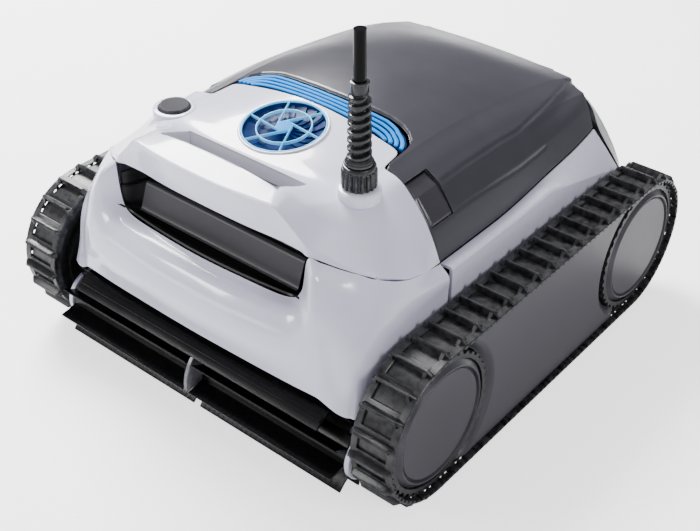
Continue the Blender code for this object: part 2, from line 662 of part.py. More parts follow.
def flanks():
    for side in (-1, 1):
        rows = []
        for share in np.linspace(0, 1, 9):
            y_top, y_low = -82 + share * (156 + 82), -82 + share * (168 + 82)
            x, z = seam_point(y_top)
            crease = min(read(CREASE_HEIGHT, y_low), z - 1)
            edge = BODY_X - GAP - 0.2
            middle = (x + edge) / 2
            y_top, y_low = along(y_top), along(y_low)
            rows.append([(side * (x + 1.0), y_top, z - SEAM_GAP),
                         (side * middle, (y_top + y_low) / 2, (z + crease) / 2),
                         (side * (edge - 1.0), y_low, crease), (side * edge, y_low, crease - 8),
                         (side * edge, y_low, TUB_TOP + 7)])
        shell(side_name("side_panel", side), rows, SHELL_WALL, WHITE)


DECK_ROWS = [
    # rear edge, along the light band and down beside the lid
    [(0, -56.8, 225.9), (40, -56.8, 222.9), (80, -57.8, 215.2), (86.5, -82, 213.6), (104, -84, 212),
     (114, -84, 204.5), (128, -84.5, 189), (136, -85, 175), (142.5, -86, 158)],
    [(0, -92, 221.5), (40, -92, 219.8), (80, -92, 214.5), (90, -98, 213.6), (105, -100, 210.5),
     (118, -101, 200), (131, -102, 186), (140, -103, 173), (146.5, -104, 161)],
    [(0, -118, 218), (40, -118, 217), (80, -118, 214.5), (92, -118, 213.4), (106, -118, 209),
     (120, -118, 199), (132, -118, 186), (142, -117, 174), (149.5, -116, 164.5)],
    [(0, -139, 216), (38, -139, 216), (72, -137, 215.5), (88, -136, 212.5), (102, -136, 207),
     (115, -135, 198), (128, -134, 187), (139, -132, 178), (149, -129, 168)],
    [(0, -166, 230), (38, -165, 228.5), (66, -162, 225), (82, -158, 216), (96, -155, 205),
     (109, -152, 197), (121, -149, 188.5), (133, -146, 180.5), (143, -143, 174)],
    [(0, -190, 225), (38, -188, 224.7), (72, -181.5, 223), (86, -178, 208), (97, -176, 198),
     (106, -171, 193), (117, -165, 187), (128, -157, 181), (138, -150, 177.3)],
    [(0, -183, 196), (38, -181, 194.5), (72, -176, 192), (91, -176, 191.5), (98, -177.5, 191),
     (106, -173.5, 189), (117, -167, 184.5), (128, -159, 180), (138, -151.5, 176.3)],
]


def deck():
    grid = mirrored(smooth_line(drawn(DECK_ROWS), 2))
    body = shell("deck_shell", grid, SHELL_WALL, WHITE)
    front = TUB_FRONT + TROUGH_FRONT
    trough = plate("deck_trough_cut", rounded(-TROUGH_X, front, TROUGH_X, front + HANDLE_GAP, 8), "z", 180, 250, WHITE)
    cut(body, trough)
    bore = lathe("deck_fan_cut", [(0, -20), (FAN_R + GAP, -20), (FAN_R + GAP, 20), (0, 20)], (0, 0, 0), "z", WHITE, 32)
    bore.location = (0, FAN_Y * MM, FAN_Z * MM)
    bore.rotation_euler = (FAN_TILT, 0, 0)
    cut(body, bore)
    radius = GLAND_R + 0.4
    cut(body, lathe("deck_gland_cut", [(0, 190), (radius, 190), (radius, 230), (0, 230)], (PORT_X, PORT_Y, 0), "z",
                    WHITE, 16))
    radius = BUTTON_R + 0.6
    cut(body, lathe("deck_button_cut", [(0, 190), (radius, 190), (radius, 230), (0, 230)], (-PORT_X, PORT_Y, 0), "z",
                    WHITE, 24))


FRONT_ROWS = [
    [(0, -190, 153), (40, -188, 152.5), (80, -183, 151), (94, -180.5, 160), (99, -179, 187.5), (107, -175, 186),
     (118, -168, 181.5), (129, -160, 177.2), (139, -152, 173.2), (150, -130, 165.5), (155, -86, 155)],
    [(0, -203, 146), (42, -201.5, 146), (86, -197, 145), (106, -193, 154), (110, -188, 176), (116, -184, 175),
     (126, -177, 170), (137, -168, 163), (147, -157, 158), (154.5, -132, 152), (155.4, -86, 148)],
    [(0, -212, 122), (44, -211, 122), (88, -207, 121), (112, -202, 127), (118, -199, 138), (126, -197, 138),
     (136, -191, 134), (146, -182, 131), (153, -168, 131), (155.4, -138, 134), (155.4, -86, 135)],
    [(0, -205, 92), (46, -204, 91.5), (92, -201.5, 90), (118, -200, 90), (126, -200, 90), (133, -198, 85),
     (141, -196, 81), (149, -193, 80), (154.5, -186, 82), (155.4, -150, 108), (155.4, -86, 112)],
]


def front():
    shell("front_shell", mirrored(smooth_line(drawn(FRONT_ROWS), 2)), SHELL_WALL, WHITE)
    wall = LINER_WALL
    outer = plate("handle_well", rounded(-WELL_X, WELL_FRONT, WELL_X, WELL_REAR, 6), "z", WELL_BASE, WELL_TOP, DARK)
    hollow = plate("handle_well_cut", rounded(-WELL_X + wall, WELL_FRONT - 14, WELL_X - wall, WELL_REAR - wall, 5),
                   "z", WELL_BASE + wall, WELL_TOP + 4, DARK)
    cut(outer, hollow)


def rear():
    """Back pan: its rim follows the lid's and the side panels' rear edges."""
    half_rim = [(0, 183.5, 176.5), (60, 183.5, 175.5), (90, 183.5, 172.5), (104, 181, 169), (118, 176.5, 162),
                (131, 163, 154), (146, 168, 136), (154.5, 172, 118), (155.5, 175.5, 100)]
    half_back = [(0, 187.5, 176.5), (60, 187.5, 175.5), (90, 187.5, 172.5), (101, 187.5, 169), (113, 187.5, 161),
                 (126, 187.5, 149), (141, 187.5, 128), (150, 187.5, 112), (152, 187.5, 96)]
    low_rim = [(155.5, 175.5, 60), (150, 175.5, 34), (0, 175.5, 30)]
    low_back = [(152, 187.5, 62), (140, 187.5, 40), (0, 187.5, 36)]

    def ring(points):
        points = np.array(drawn([points])[0], float)
        return np.concatenate([points, points[-2:0:-1] * (-1, 1, 1)])
    rim, back = ring(half_rim + low_rim), ring(half_back + low_back)
    middle = np.array([0, 0, 105.0])
    inner_rim = (rim - middle) * (0.972, 1, 0.965) + middle
    inner_back = (back - middle) * (0.965, 1, 0.955) + middle - (0, 3, 0)
    loops = [inner_back, inner_rim, rim, back]
    rings("rear_panel", [[tuple(p) for p in loop] for loop in loops], LID_GREY)


def light_band():
    lines = []
    for share in (0.0, 0.5, 1.0):
        row = []
        for a in BAND_ACROSS:
            front, rear = read(BAND_FRONT, a), read(BAND_REAR, a)
            x, y, z = roof_point(a, front + (rear - front) * share)
            row.append((x, y, z - BAND_SINK))
        lines.append(row)
    shell("light_band", mirrored(lines), BAND_WALL, BLUE)


def swirl_hole(inner, outer, web, k, spokes=6, hub=6.2):
    """The gap between two neighbouring spokes, which are tangents of the hub."""
    step = 2 * math.pi / spokes

    def turn(radius, shift, which):
        return which * step + math.acos((hub + shift) / radius)
    first = [(outer, t) for t in np.linspace(turn(outer, -web, k), turn(outer, web, k + 1), 6)]
    second = [(inner, t) for t in np.linspace(turn(inner, web, k + 1), turn(inner, -web, k), 4)]
    return [(r * math.cos(t), -r * math.sin(t)) for r, t in first + second]


def fan():
    web = 0.8
    ring_r = FAN_R * 0.644
    holes = [swirl_hole(ring_r + 0.9, FAN_R - 2.6, web, k) for k in range(6)]
    holes += [swirl_hole(8.6, ring_r - 0.9, web, k) for k in range(6)]
    grille = plate("fan_grille", circle(0, 0, FAN_R, 36), "z", -GRILLE_THICK, 0, BLUE, holes)
    grille.location = (0, FAN_Y * MM, FAN_Z * MM)
    grille.rotation_euler = (FAN_TILT, 0, 0)
    bore = DUCT_R - DUCT_WALL
    lathe("flow_duct", [(bore, 152), (DUCT_R, 152), (DUCT_R, 206), (bore, 206)], (0, FAN_Y, 0), "z", DARK, 32)
    loops = []
    blades = 3
    for z, twist in ((186, 0.0), (190, 0.18), (194, 0.36), (198, 0.54)):
        loop = []
        for b in range(blades):
            base = 2 * math.pi * b / blades + twist
            for angle, radius in ((-0.16, PROP_R), (0.16, PROP_R), (0.34, PROP_R - 10), (0.5, 9), (1.05, 8),
                                  (1.6, 9), (1.76, PROP_R - 10)):
                loop.append((radius * math.cos(base + angle), FAN_Y + radius * math.sin(base + angle), z))
        loops.append(loop)
    stem = [(SHAFT_R * math.cos(math.atan2(y - FAN_Y, x)), FAN_Y + SHAFT_R * math.sin(math.atan2(y - FAN_Y, x)))
            for x, y, _ in loops[0]]
    loops = [[(x, y, 150.5) for x, y in stem], [(x, y, 185.9) for x, y in stem]] + loops
    rings("propeller", loops, DARK, (0, FAN_Y, 0))
    profile = [(0, TUB_BASE + TUB_WALL + GAP + 6), (26, TUB_BASE + TUB_WALL + GAP + 6), (26, 44), (22, 48), (22, 140),
               (14, 146), (14, 150), (0, 150)]
    lathe("pump_motor", profile, (0, FAN_Y, 0), "z", MOTOR, 24)


def top_fittings():
    profile = [(0, 203), (9, 203), (9, 207), (BUTTON_R, 207), (BUTTON_R, BUTTON_TOP - 1.5),
               (BUTTON_R - 2.5, BUTTON_TOP - 0.3), (0, BUTTON_TOP)]
    lathe("power_button", profile, (-PORT_X, PORT_Y, 0), "z", LID_GREY, 24, (-PORT_X, PORT_Y, 0))
    plate("button_switch", rounded(-PORT_X - 10, PORT_Y - 10, -PORT_X + 10, PORT_Y + 10, 2), "z", 192, 200.4, DARK)
    bore = CABLE_R + GAP
    at = (PORT_X, PORT_Y, 0)
    flange, top = NUT_R + 2.8, NUT_BASE - GAP
    lathe("gland_base", [(bore, 200), (GLAND_R, 200), (GLAND_R, 216), (flange, 216), (flange, top), (bore, top)],
          at, "z", WHITE, 20)
    plate("gland_nut", [(PORT_X + u, PORT_Y + v) for u, v in gear_outline(0, 0, NUT_R - 1.1, NUT_R, 18)], "z",
          NUT_BASE, NUT_TOP, DARK, [[(PORT_X + u, PORT_Y + v) for u, v in circle(0, 0, bore, 16)]])
    base = NUT_TOP + GAP
    collar, root, coil_r = CABLE_R + 5.9, CABLE_R + 1.7, CABLE_R + 4.2
    profile = [(bore, base), (collar, base), (collar, base + 3), (CABLE_R + 3.6, base + 5.5)]
    coils = 7
    coil0, coil1 = base + 6, RELIEF_TOP - 11
    pitch = (coil1 - coil0) / coils
    for k in range(coils):
        z = coil0 + k * pitch
        wide = coil_r - 0.12 * k
        profile += [(root, z), (wide, z + 0.6), (wide, z + pitch * 0.5), (root, z + pitch * 0.62)]
    profile += [(root + 0.3, coil1), (root + 0.3, RELIEF_TOP), (bore, RELIEF_TOP)]
    lathe("strain_relief", profile, at, "z", DARK, 16)
    line = bpy.data.curves.new("power_cable", "CURVE")
    line.dimensions = "3D"
    line.bevel_depth = CABLE_R * MM
    line.bevel_resolution = 3
    line.use_fill_caps = True
    line.render_resolution_u = 0
    spline = line.splines.new("POLY")
    heights = np.linspace(CABLE_START, CABLE_END, 8)
    spline.points.add(len(heights) - 1)
    for point, z in zip(spline.points, heights):
        point.co = (PORT_X * MM, PORT_Y * MM, z * MM, 1.0)
    cable = bpy.data.objects.new("power_cable", line)
    bpy.context.scene.collection.objects.link(cable)
    look(cable, RUBBER)


def insides():
    low = TUB_FRONT + 13
    plate("control_box", rounded(BASKET_X - 52, low, BASKET_X + 12, low + 70, 5), "z", 60, 140, DARK)
    wall, x, y0, y1 = BASKET_WALL, BASKET_X, BASKET_FRONT, BASKET_REAR
    outer, inner = rounded(-x, y0, x, y1, 12), rounded(-x + wall, y0 + wall, x - wall, y1 - wall, 10)
    foot = rounded(-x + 10, y0 + 10, x - 10, y1 - 10, 10)
    base, top = BASKET_BASE, BASKET_TOP
    loops = [[(u, v, base) for u, v in foot], [(u, v, base + 8) for u, v in outer], [(u, v, top) for u, v in outer],
             [(u, v, top) for u, v in inner], [(u, v, base + 9) for u, v in inner],
             [(u * 0.9, v * 0.9, base + 3) for u, v in foot]]
    basket = rings("filter_basket", loops, DARK)
    middle = (y0 + y1) / 2
    for side in (-1, 1):
        low, high = sorted((side * (INTAKE_X0 + 4), side * (INTAKE_X1 - 4)))
        port = rounded(low, 30, high, 56, 5)
        cut(basket, plate(side_name("basket_port_cut", side), port, "z", base - 12, base + 18, DARK))
        for k, step in enumerate((-62, 0, 62)):
            low, high = sorted((side * (x - 15), side * (x + 20)))
            window = plate(f"{side_name('basket_window_cut', side)}_{k}",
                           rounded(middle + step - 22, base + 22, middle + step + 22, top - 14, 6, 2), "x",
                           low, high, DARK)
            cut(basket, window)
    plate("basket_seal", outer, "z", top + GAP, top + 3, RUBBER, [inner])
    for side in (-1, 1):
        hinge_y, hinge_z = INTAKE_Y1 + 6, TUB_BASE + TUB_WALL + 1.8
        outline = circle(hinge_y, hinge_z, 1.4, 8, -90, 90)
        outline += [(INTAKE_Y0 - FLAP_LAP, hinge_z + 1.4), (INTAKE_Y0 - FLAP_LAP, hinge_z - 0.6),
                    (INTAKE_Y0, hinge_z - 1.4)]
        low, high = sorted((side * (INTAKE_X0 - FLAP_LAP), side * (INTAKE_X1 + FLAP_LAP)))
        plate(side_name("intake_flap", side), outline, "x", low, high, RUBBER, (), (0, hinge_y, hinge_z))


def main():
    for obj in list(bpy.data.objects):
        bpy.data.objects.remove(obj)
    chassis()
    side_frames()
    tracks()
    wheels()
    drives()
    side_covers()
    brushes()
    lid_and_latches()
    flanks()
    deck()
    front()
    rear()
    light_band()
    fan()
    top_fittings()
    insides()


main()
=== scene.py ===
"""Looks of a corded pool cleaner: glossy white shells, a satin grey filter lid,
two rubber tracks, a finned scrubbing roller, a blue light band and a blue fan
grille, with a black cable stub that stands in its ribbed gland.

Shapes are worked out in millimetres with numpy, as grids of points or as
profiles carried along a path, and solid() turns them into metres.
"""

import math

import bmesh
import bpy
import numpy as np
from mathutils import Matrix, Vector


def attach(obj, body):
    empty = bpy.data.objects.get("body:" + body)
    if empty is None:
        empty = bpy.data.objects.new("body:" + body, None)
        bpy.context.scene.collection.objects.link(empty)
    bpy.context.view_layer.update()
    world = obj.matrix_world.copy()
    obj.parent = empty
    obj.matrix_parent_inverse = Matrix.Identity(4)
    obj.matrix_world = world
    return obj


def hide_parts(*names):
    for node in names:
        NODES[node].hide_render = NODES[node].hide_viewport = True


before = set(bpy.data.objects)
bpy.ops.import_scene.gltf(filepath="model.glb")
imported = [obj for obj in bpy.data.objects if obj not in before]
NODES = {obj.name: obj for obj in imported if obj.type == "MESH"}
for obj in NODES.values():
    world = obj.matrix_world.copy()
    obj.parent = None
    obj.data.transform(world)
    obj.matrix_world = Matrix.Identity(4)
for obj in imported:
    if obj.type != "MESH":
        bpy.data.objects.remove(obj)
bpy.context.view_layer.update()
MM = 0.001
CHASSIS = "chassis"


def put(name, data):
    """A new object at the origin, in the scene."""
    obj = bpy.data.objects.new(name, data)
    bpy.context.scene.collection.objects.link(obj)
    return obj


# ---- camera, a little above the front right corner ---------------------------
def aim_camera():
    """Camera turned and raised by two angles, with the object's origin a little off the middle of its
    view."""
    turn, rise, distance = 0.6937, 0.6336, 1.12228
    aside, above = -0.00848, 0.02994
    back = Vector((math.sin(turn) * math.cos(rise), -math.cos(turn) * math.cos(rise), math.sin(rise)))
    right = Vector((math.cos(turn), math.sin(turn), 0))
    up = back.cross(right)
    data = bpy.data.cameras.new("viewpoint")
    data.sensor_width = 36.0
    data.lens = 62.98
    camera = put("viewpoint", data)
    place = right * aside + up * above + back * distance
    camera.matrix_world = Matrix.Translation(place) @ Matrix((right, up, back)).transposed().to_4x4()
    bpy.context.scene.camera = camera


aim_camera()


# ---- tools for shapes --------------------------------------------------------
def table(rows, at):
    """A smooth line through (place, height) rows: cubic pieces whose slopes are those of the neighbours."""
    x, z = np.array(rows, float).T
    slope = np.gradient(z, x)
    at = np.clip(np.asarray(at, float), x[0], x[-1])
    i = np.clip(np.searchsorted(x, at) - 1, 0, len(x) - 2)
    span = x[i + 1] - x[i]
    t = (at - x[i]) / span
    return (z[i] * (1 + 2 * t) * (1 - t) ** 2 + z[i + 1] * t * t * (3 - 2 * t)
            + span * (slope[i] * t * (1 - t) ** 2 - slope[i + 1] * t * t * (1 - t)))


def step(low, high, at):
    """0 below low, 1 above high, and 3t^2 - 2t^3 between them."""
    t = np.clip((np.asarray(at, float) - low) / (high - low), 0, 1)
    return t * t * (3 - 2 * t)


def flow(rows, parts, breaks=()):
    """Catmull-Rom curve through rows of points along the first axis, in pieces that meet at the break
    rows."""
    rows = np.asarray(rows, float)
    stops = [0, *breaks, len(rows) - 1]
    t = (np.arange(parts) / parts).reshape(-1, *([1] * (rows.ndim - 1)))
    out = []
    for first, last in zip(stops, stops[1:]):
        run = rows[first:last + 1]
        run = np.concatenate([2 * run[:1] - run[1:2], run, 2 * run[-1:] - run[-2:-1]])
        for a, b, c, d in zip(run, run[1:], run[2:], run[3:]):
            out.append(0.5 * (2 * b + (c - a) * t + (2 * a - 5 * b + 4 * c - d) * t ** 2
                              + (3 * b - a - 3 * c + d) * t ** 3))
    return np.concatenate([*out, rows[-1:]])


def both_ways(rows, down, across, down_breaks=(), across_breaks=()):
    """A cage of points filled in along its rows and along its columns."""
    fine = flow(rows, down, down_breaks)
    return flow(fine.swapaxes(0, 1), across, across_breaks).swapaxes(0, 1)


def relax(grid, rounds):
    """Each inner point moves half way to the mean of its four neighbours, which rounds creases off."""
    grid = grid.copy()
    for _ in range(rounds):
        mean = (grid[:-2, 1:-1] + grid[2:, 1:-1] + grid[1:-1, :-2] + grid[1:-1, 2:]) / 4
        grid[1:-1, 1:-1] += 0.5 * (mean - grid[1:-1, 1:-1])
        grid[0, 1:-1] += 0.25 * (grid[0, :-2] + grid[0, 2:] - 2 * grid[0, 1:-1])
        grid[-1, 1:-1] += 0.25 * (grid[-1, :-2] + grid[-1, 2:] - 2 * grid[-1, 1:-1])
    return grid


def mirrored(half):
    """Rows of points from the middle outwards, completed on the -X side."""
    half = np.asarray(half, float)
    return np.concatenate([half[:, :0:-1] * (-1, 1, 1), half], axis=1)


def normals(grid, inside=(0, 0, 60)):
    """Unit normals of a grid, the cross product of its two slopes, turned away from the inside point."""
    normal = np.cross(np.gradient(grid, axis=0), np.gradient(grid, axis=1))
    normal /= np.linalg.norm(normal, axis=2, keepdims=True) + 1e-12
    return normal if (normal * (grid - inside)).sum() > 0 else -normal


def distance(points, line):
    """Shortest distance from points to a line of straight pieces, one piece at a time."""
    line = np.asarray(line, float)
    best = np.full(points.shape[:-1], 1e9)
    for a, b in zip(line, line[1:]):
        along = b - a
        t = np.clip(((points - a) @ along) / (along @ along), 0, 1)
        best = np.minimum(best, np.linalg.norm(points - a - t[..., None] * along, axis=-1))
    return best


def quads(rows, cols, wrap_rows=False, wrap_cols=False):
    """Index quads between neighbouring rows and columns of a grid."""
    r, c = np.meshgrid(np.arange(rows - (not wrap_rows)), np.arange(cols - (not wrap_cols)), indexing="ij")
    r1, c1 = (r + 1) % rows, (c + 1) % cols
    return np.stack([r * cols + c, r * cols + c1, r1 * cols + c1, r1 * cols + c], -1).reshape(-1, 4)


def prisms(points):
    """Capped prisms out of an array (prism, station, corner, place): the corners of neighbouring stations
    join."""
    count, stations, corners = points.shape[:3]
    one = [quads(stations, corners, False, True), np.arange(corners)[None],
           (stations - 1) * corners + np.arange(corners)[None]]
    shift = (np.arange(count) * stations * corners)[:, None, None]
    return points.reshape(-1, 3), [(block + shift).reshape(-1, block.shape[1]) for block in one]


def tube(loops, closed=False):
    """Rings of points joined up: ends capped, or joined to each other when closed."""
    loops = np.asarray(loops, float)
    if not closed:
        return prisms(loops[None])
    return loops.reshape(-1, 3), [quads(*loops.shape[:2], True, True)]


def slab(top, bottom):
    """Two grids of one size joined by a rim round the edge."""
    rows, cols = top.shape[:2]
    index = np.arange(rows * cols).reshape(rows, cols)
    rim = np.concatenate([index[0], index[1:, -1], index[-1, -2::-1], index[-2:0:-1, 0]])
    below = rim + rows * cols
    face = quads(rows, cols)
    side = np.stack([rim, np.roll(rim, -1), np.roll(below, -1), below], -1)
    points = np.concatenate([top.reshape(-1, 3), bottom.reshape(-1, 3)])
    return points, [face, face[:, ::-1] + rows * cols, side]


def sheet(grid, wall, lift=0.0, inside=(0, 0, 60)):
    """A grid lifted along its normals, with a wall under it and a rim round the edge."""
    normal = normals(grid, inside)
    return slab(grid + lift * normal, grid - wall * normal)


def at_side(side, part):
    """A part of the +X half, mirrored when the side is -1."""
    points, faces = part
    return points * (side, 1, 1), faces


def ring(profile, side, at, segments=64):
    """A profile turned round X whose (radius, x) rows are written for the +X half."""
    return turned([(radius, side * x) for radius, x in profile], at, "x", segments)


def blunt(count, power_u, power_v):
    """A squared-off circle: cosine and sine of equal steps, each raised to a power below 1."""
    turn = 2 * math.pi * np.arange(count) / count
    u, v = np.cos(turn), np.sin(turn)
    return np.sign(u) * np.abs(u) ** power_u, np.sign(v) * np.abs(v) ** power_v


def unit(vectors):
    """Vectors of length 1 along the last axis."""
    return vectors / np.linalg.norm(vectors, axis=-1, keepdims=True)


def turned(profile, centre, axis="z", segments=64):
    """A closed (radius, height) profile turned round an axis; points on the axis close up as poles."""
    radius, height = np.array(profile, float).T
    angle = 2 * math.pi * np.arange(segments) / segments
    u, v = np.outer(radius, np.cos(angle)), np.outer(radius, np.sin(angle))
    w = np.repeat(height[:, None], segments, 1)
    order = {"x": (w, u, v), "y": (u, w, v), "z": (u, v, w)}[axis]
    return tube(np.stack(order, -1) + centre, closed=True)


def circle(cu, cv, radius, count=24, start=0.0, stop=360.0):
    """Points on a circle, or on an arc that includes its end angle."""
    t = np.radians(np.linspace(start, stop, count, endpoint=stop - start < 360.0))
    return np.stack([cu + radius * np.cos(t), cv + radius * np.sin(t)], -1)


def rounded(u0, v0, u1, v1, radius, count=6):
    """A rectangle with rounded corners, anticlockwise."""
    corners = ((u1 - radius, v1 - radius, 0), (u0 + radius, v1 - radius, 90),
               (u0 + radius, v0 + radius, 180), (u1 - radius, v0 + radius, 270))
    return np.concatenate([circle(cu, cv, radius, count, a, a + 90) for cu, cv, a in corners])


def in_plane(outline, height, axis="z"):
    """Plane points (u, v) set at a height along an axis."""
    outline = np.asarray(outline, float)
    w = np.full(len(outline), float(height))
    u, v = outline.T
    return np.stack({"x": (w, u, v), "y": (u, w, v), "z": (u, v, w)}[axis], -1)


def plate(outline, low, high, axis="x"):
    """An outline carried straight along an axis, from one height to another."""
    return tube([in_plane(outline, low, axis), in_plane(outline, high, axis)])


def solid(name, parts, finish, body=CHASSIS, stands_for=(), crease=34.0, bevel=0.0):
    """One closed piece out of parts (points, faces, finish number): welded, turned outwards, in metres."""
    points, faces, numbers, start = [], [], [], 0
    for part in parts:
        chunk, blocks = part[:2]
        points.append(chunk)
        for block in blocks:
            faces += (np.asarray(block) + start).tolist()
            numbers += [part[2] if len(part) > 2 else 0] * len(block)
        start += len(chunk)
    mesh = bpy.data.meshes.new(name)
    mesh.from_pydata((np.concatenate(points) * MM).tolist(), [], faces)
    mesh.polygons.foreach_set("material_index", numbers)
    bm = bmesh.new()
    bm.from_mesh(mesh)
    bmesh.ops.remove_doubles(bm, verts=bm.verts, dist=2e-6)
    bmesh.ops.recalc_face_normals(bm, faces=bm.faces)
    bm.to_mesh(mesh)
    bm.free()
    mesh.shade_smooth()
    mesh.set_sharp_from_angle(angle=math.radians(crease))
    for material in finish if isinstance(finish, (list, tuple)) else [finish]:
        mesh.materials.append(material)
    obj = put(name, mesh)
    if bevel:
        mod = obj.modifiers.new("soft edges", "BEVEL")
        mod.width, mod.segments, mod.limit_method = bevel * MM, 2, "ANGLE"
        mod.angle_limit = math.radians(40)
    if body:
        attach(obj, body)
        if stands_for:
            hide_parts(*stands_for)
    return obj


def carve(obj, *tools):
    """Cut the tools out of a piece for good, then take the tools away."""
    for cutter in tools:
        mod = obj.modifiers.new("cut", "BOOLEAN")
        mod.object, mod.solver, mod.operation = cutter, "EXACT", "DIFFERENCE"
    bpy.context.view_layer.update()
    result = bpy.data.meshes.new_from_object(obj.evaluated_get(bpy.context.evaluated_depsgraph_get()))
    obj.modifiers.clear()
    obj.data = result
    result.shade_smooth()
    result.set_sharp_from_angle(angle=math.radians(34))
    for cutter in tools:
        bpy.data.objects.remove(cutter)


def tool(part):
    """A cutter: a plain closed piece that rides on nothing and is used up by carve()."""
    return solid("cutter", [part], [], body=None)


# ---- tools for finishes ------------------------------------------------------
def node(tree, kind, inputs=None, **settings):
    """A shader node with its settings, its sockets given a value or joined to another socket."""
    new = tree.nodes.new("ShaderNode" + kind)
    for key, value in settings.items():
        setattr(new, key, value)
    for key, value in (inputs or {}).items():
        if isinstance(value, bpy.types.NodeSocket):
            tree.links.new(value, new.inputs[key])
        else:
            new.inputs[key].default_value = value
    return new


def effect(name, inputs, outputs):
    """An empty node group with named sockets: (name, kind, value) in and (name, kind) out."""
    tree = bpy.data.node_groups.new(name, "ShaderNodeTree")
    for label, kind, value in inputs:
        socket = tree.interface.new_socket(label, in_out="INPUT", socket_type="NodeSocket" + kind)
        if value is not None:
            socket.default_value = value
    for label, kind in outputs:
        tree.interface.new_socket(label, in_out="OUTPUT", socket_type="NodeSocket" + kind)
    return tree, tree.nodes.new("NodeGroupInput"), tree.nodes.new("NodeGroupOutput")


def times(tree, first, second):
    """The product of two values."""
    return node(tree, "Math", {0: first, 1: second}, operation="MULTIPLY").outputs[0]


def per(tree, size):
    """How many times a size goes into a metre, which is the scale of a noise."""
    return node(tree, "Math", {0: 1.0, 1: size}, operation="DIVIDE").outputs[0]


def spread(tree, value, low, high):
    """A value between low and high spread out to 0..1."""
    return node(tree, "MapRange", {"Value": value, "From Min": low, "From Max": high}).outputs[0]


def moulded_skin():
    """Moulded surface: a fine grain for the bump, a broad mottle for colour and gloss."""
    tree, take, give = effect("moulded skin", [("Place", "Vector", None), ("Grain Size", "Float", 0.0008),
                                               ("Mottle Size", "Float", 0.05)],
                              [("Grain", "Float"), ("Mottle", "Float")])
    place = take.outputs["Place"]
    grain = node(tree, "TexNoise", {"Vector": place, "Scale": per(tree, take.outputs["Grain Size"]),
                                    "Detail": 2.0, "Roughness": 0.55})
    mottle = node(tree, "TexNoise", {"Vector": place, "Scale": per(tree, take.outputs["Mottle Size"]),
                                     "Detail": 3.0})
    tree.links.new(grain.outputs["Fac"], give.inputs["Grain"])
    tree.links.new(spread(tree, mottle.outputs["Fac"], 0.3, 0.7), give.inputs["Mottle"])
    return tree


def settled_dust():
    """Dust and dried water marks: cloudy noise kept to faces that look up."""
    tree, take, give = effect("settled dust", [("Place", "Vector", None), ("Size", "Float", 0.02),
                                               ("Amount", "Float", 0.3)], [("Mask", "Float")])
    upward = node(tree, "SeparateXYZ", {0: node(tree, "NewGeometry").outputs["Normal"]})
    cloud = node(tree, "TexNoise", {"Vector": take.outputs["Place"], "Scale": per(tree, take.outputs["Size"]),
                                    "Detail": 6.0, "Roughness": 0.65})
    lying = times(tree, spread(tree, upward.outputs["Z"], -0.2, 0.9),
                  spread(tree, cloud.outputs["Fac"], 0.42, 0.72))
    tree.links.new(times(tree, lying, take.outputs["Amount"]), give.inputs["Mask"])
    return tree


def rubbed_edges():
    """Wear: convex edges show through where a patchy noise lets them."""
    tree, take, give = effect("rubbed edges", [("Place", "Vector", None), ("Reach", "Float", 0.04),
                                               ("Amount", "Float", 0.5)], [("Mask", "Float")])
    top = node(tree, "Math", {0: 0.5, 1: take.outputs["Reach"]}, operation="ADD").outputs[0]
    ridge = spread(tree, node(tree, "NewGeometry").outputs["Pointiness"], 0.505, top)
    patch = node(tree, "TexNoise", {"Vector": take.outputs["Place"], "Scale": 180.0, "Detail": 4.0})
    rubbed = times(tree, ridge, spread(tree, patch.outputs["Fac"], 0.35, 0.6))
    tree.links.new(times(tree, rubbed, take.outputs["Amount"]), give.inputs["Mask"])
    return tree


def hair_scratches():
    """Fine handling marks: a noise stretched a hundred times along a slant, cut down to thin lines."""
    tree, take, give = effect("hair scratches", [("Place", "Vector", None), ("Amount", "Float", 0.3)],
                              [("Mask", "Float")])
    slant = node(tree, "Mapping", {"Vector": take.outputs["Place"], "Rotation": (0.3, 0.2, 0.7),
                                   "Scale": (14.0, 900.0, 900.0)})
    lines = node(tree, "TexNoise", {"Vector": slant.outputs[0], "Scale": 1.0, "Detail": 1.0})
    thin = spread(tree, lines.outputs["Fac"], 0.68, 0.74)
    tree.links.new(times(tree, thin, take.outputs["Amount"]), give.inputs["Mask"])
    return tree


SKIN, DUST, WEAR, SCRATCH = moulded_skin(), settled_dust(), rubbed_edges(), hair_scratches()


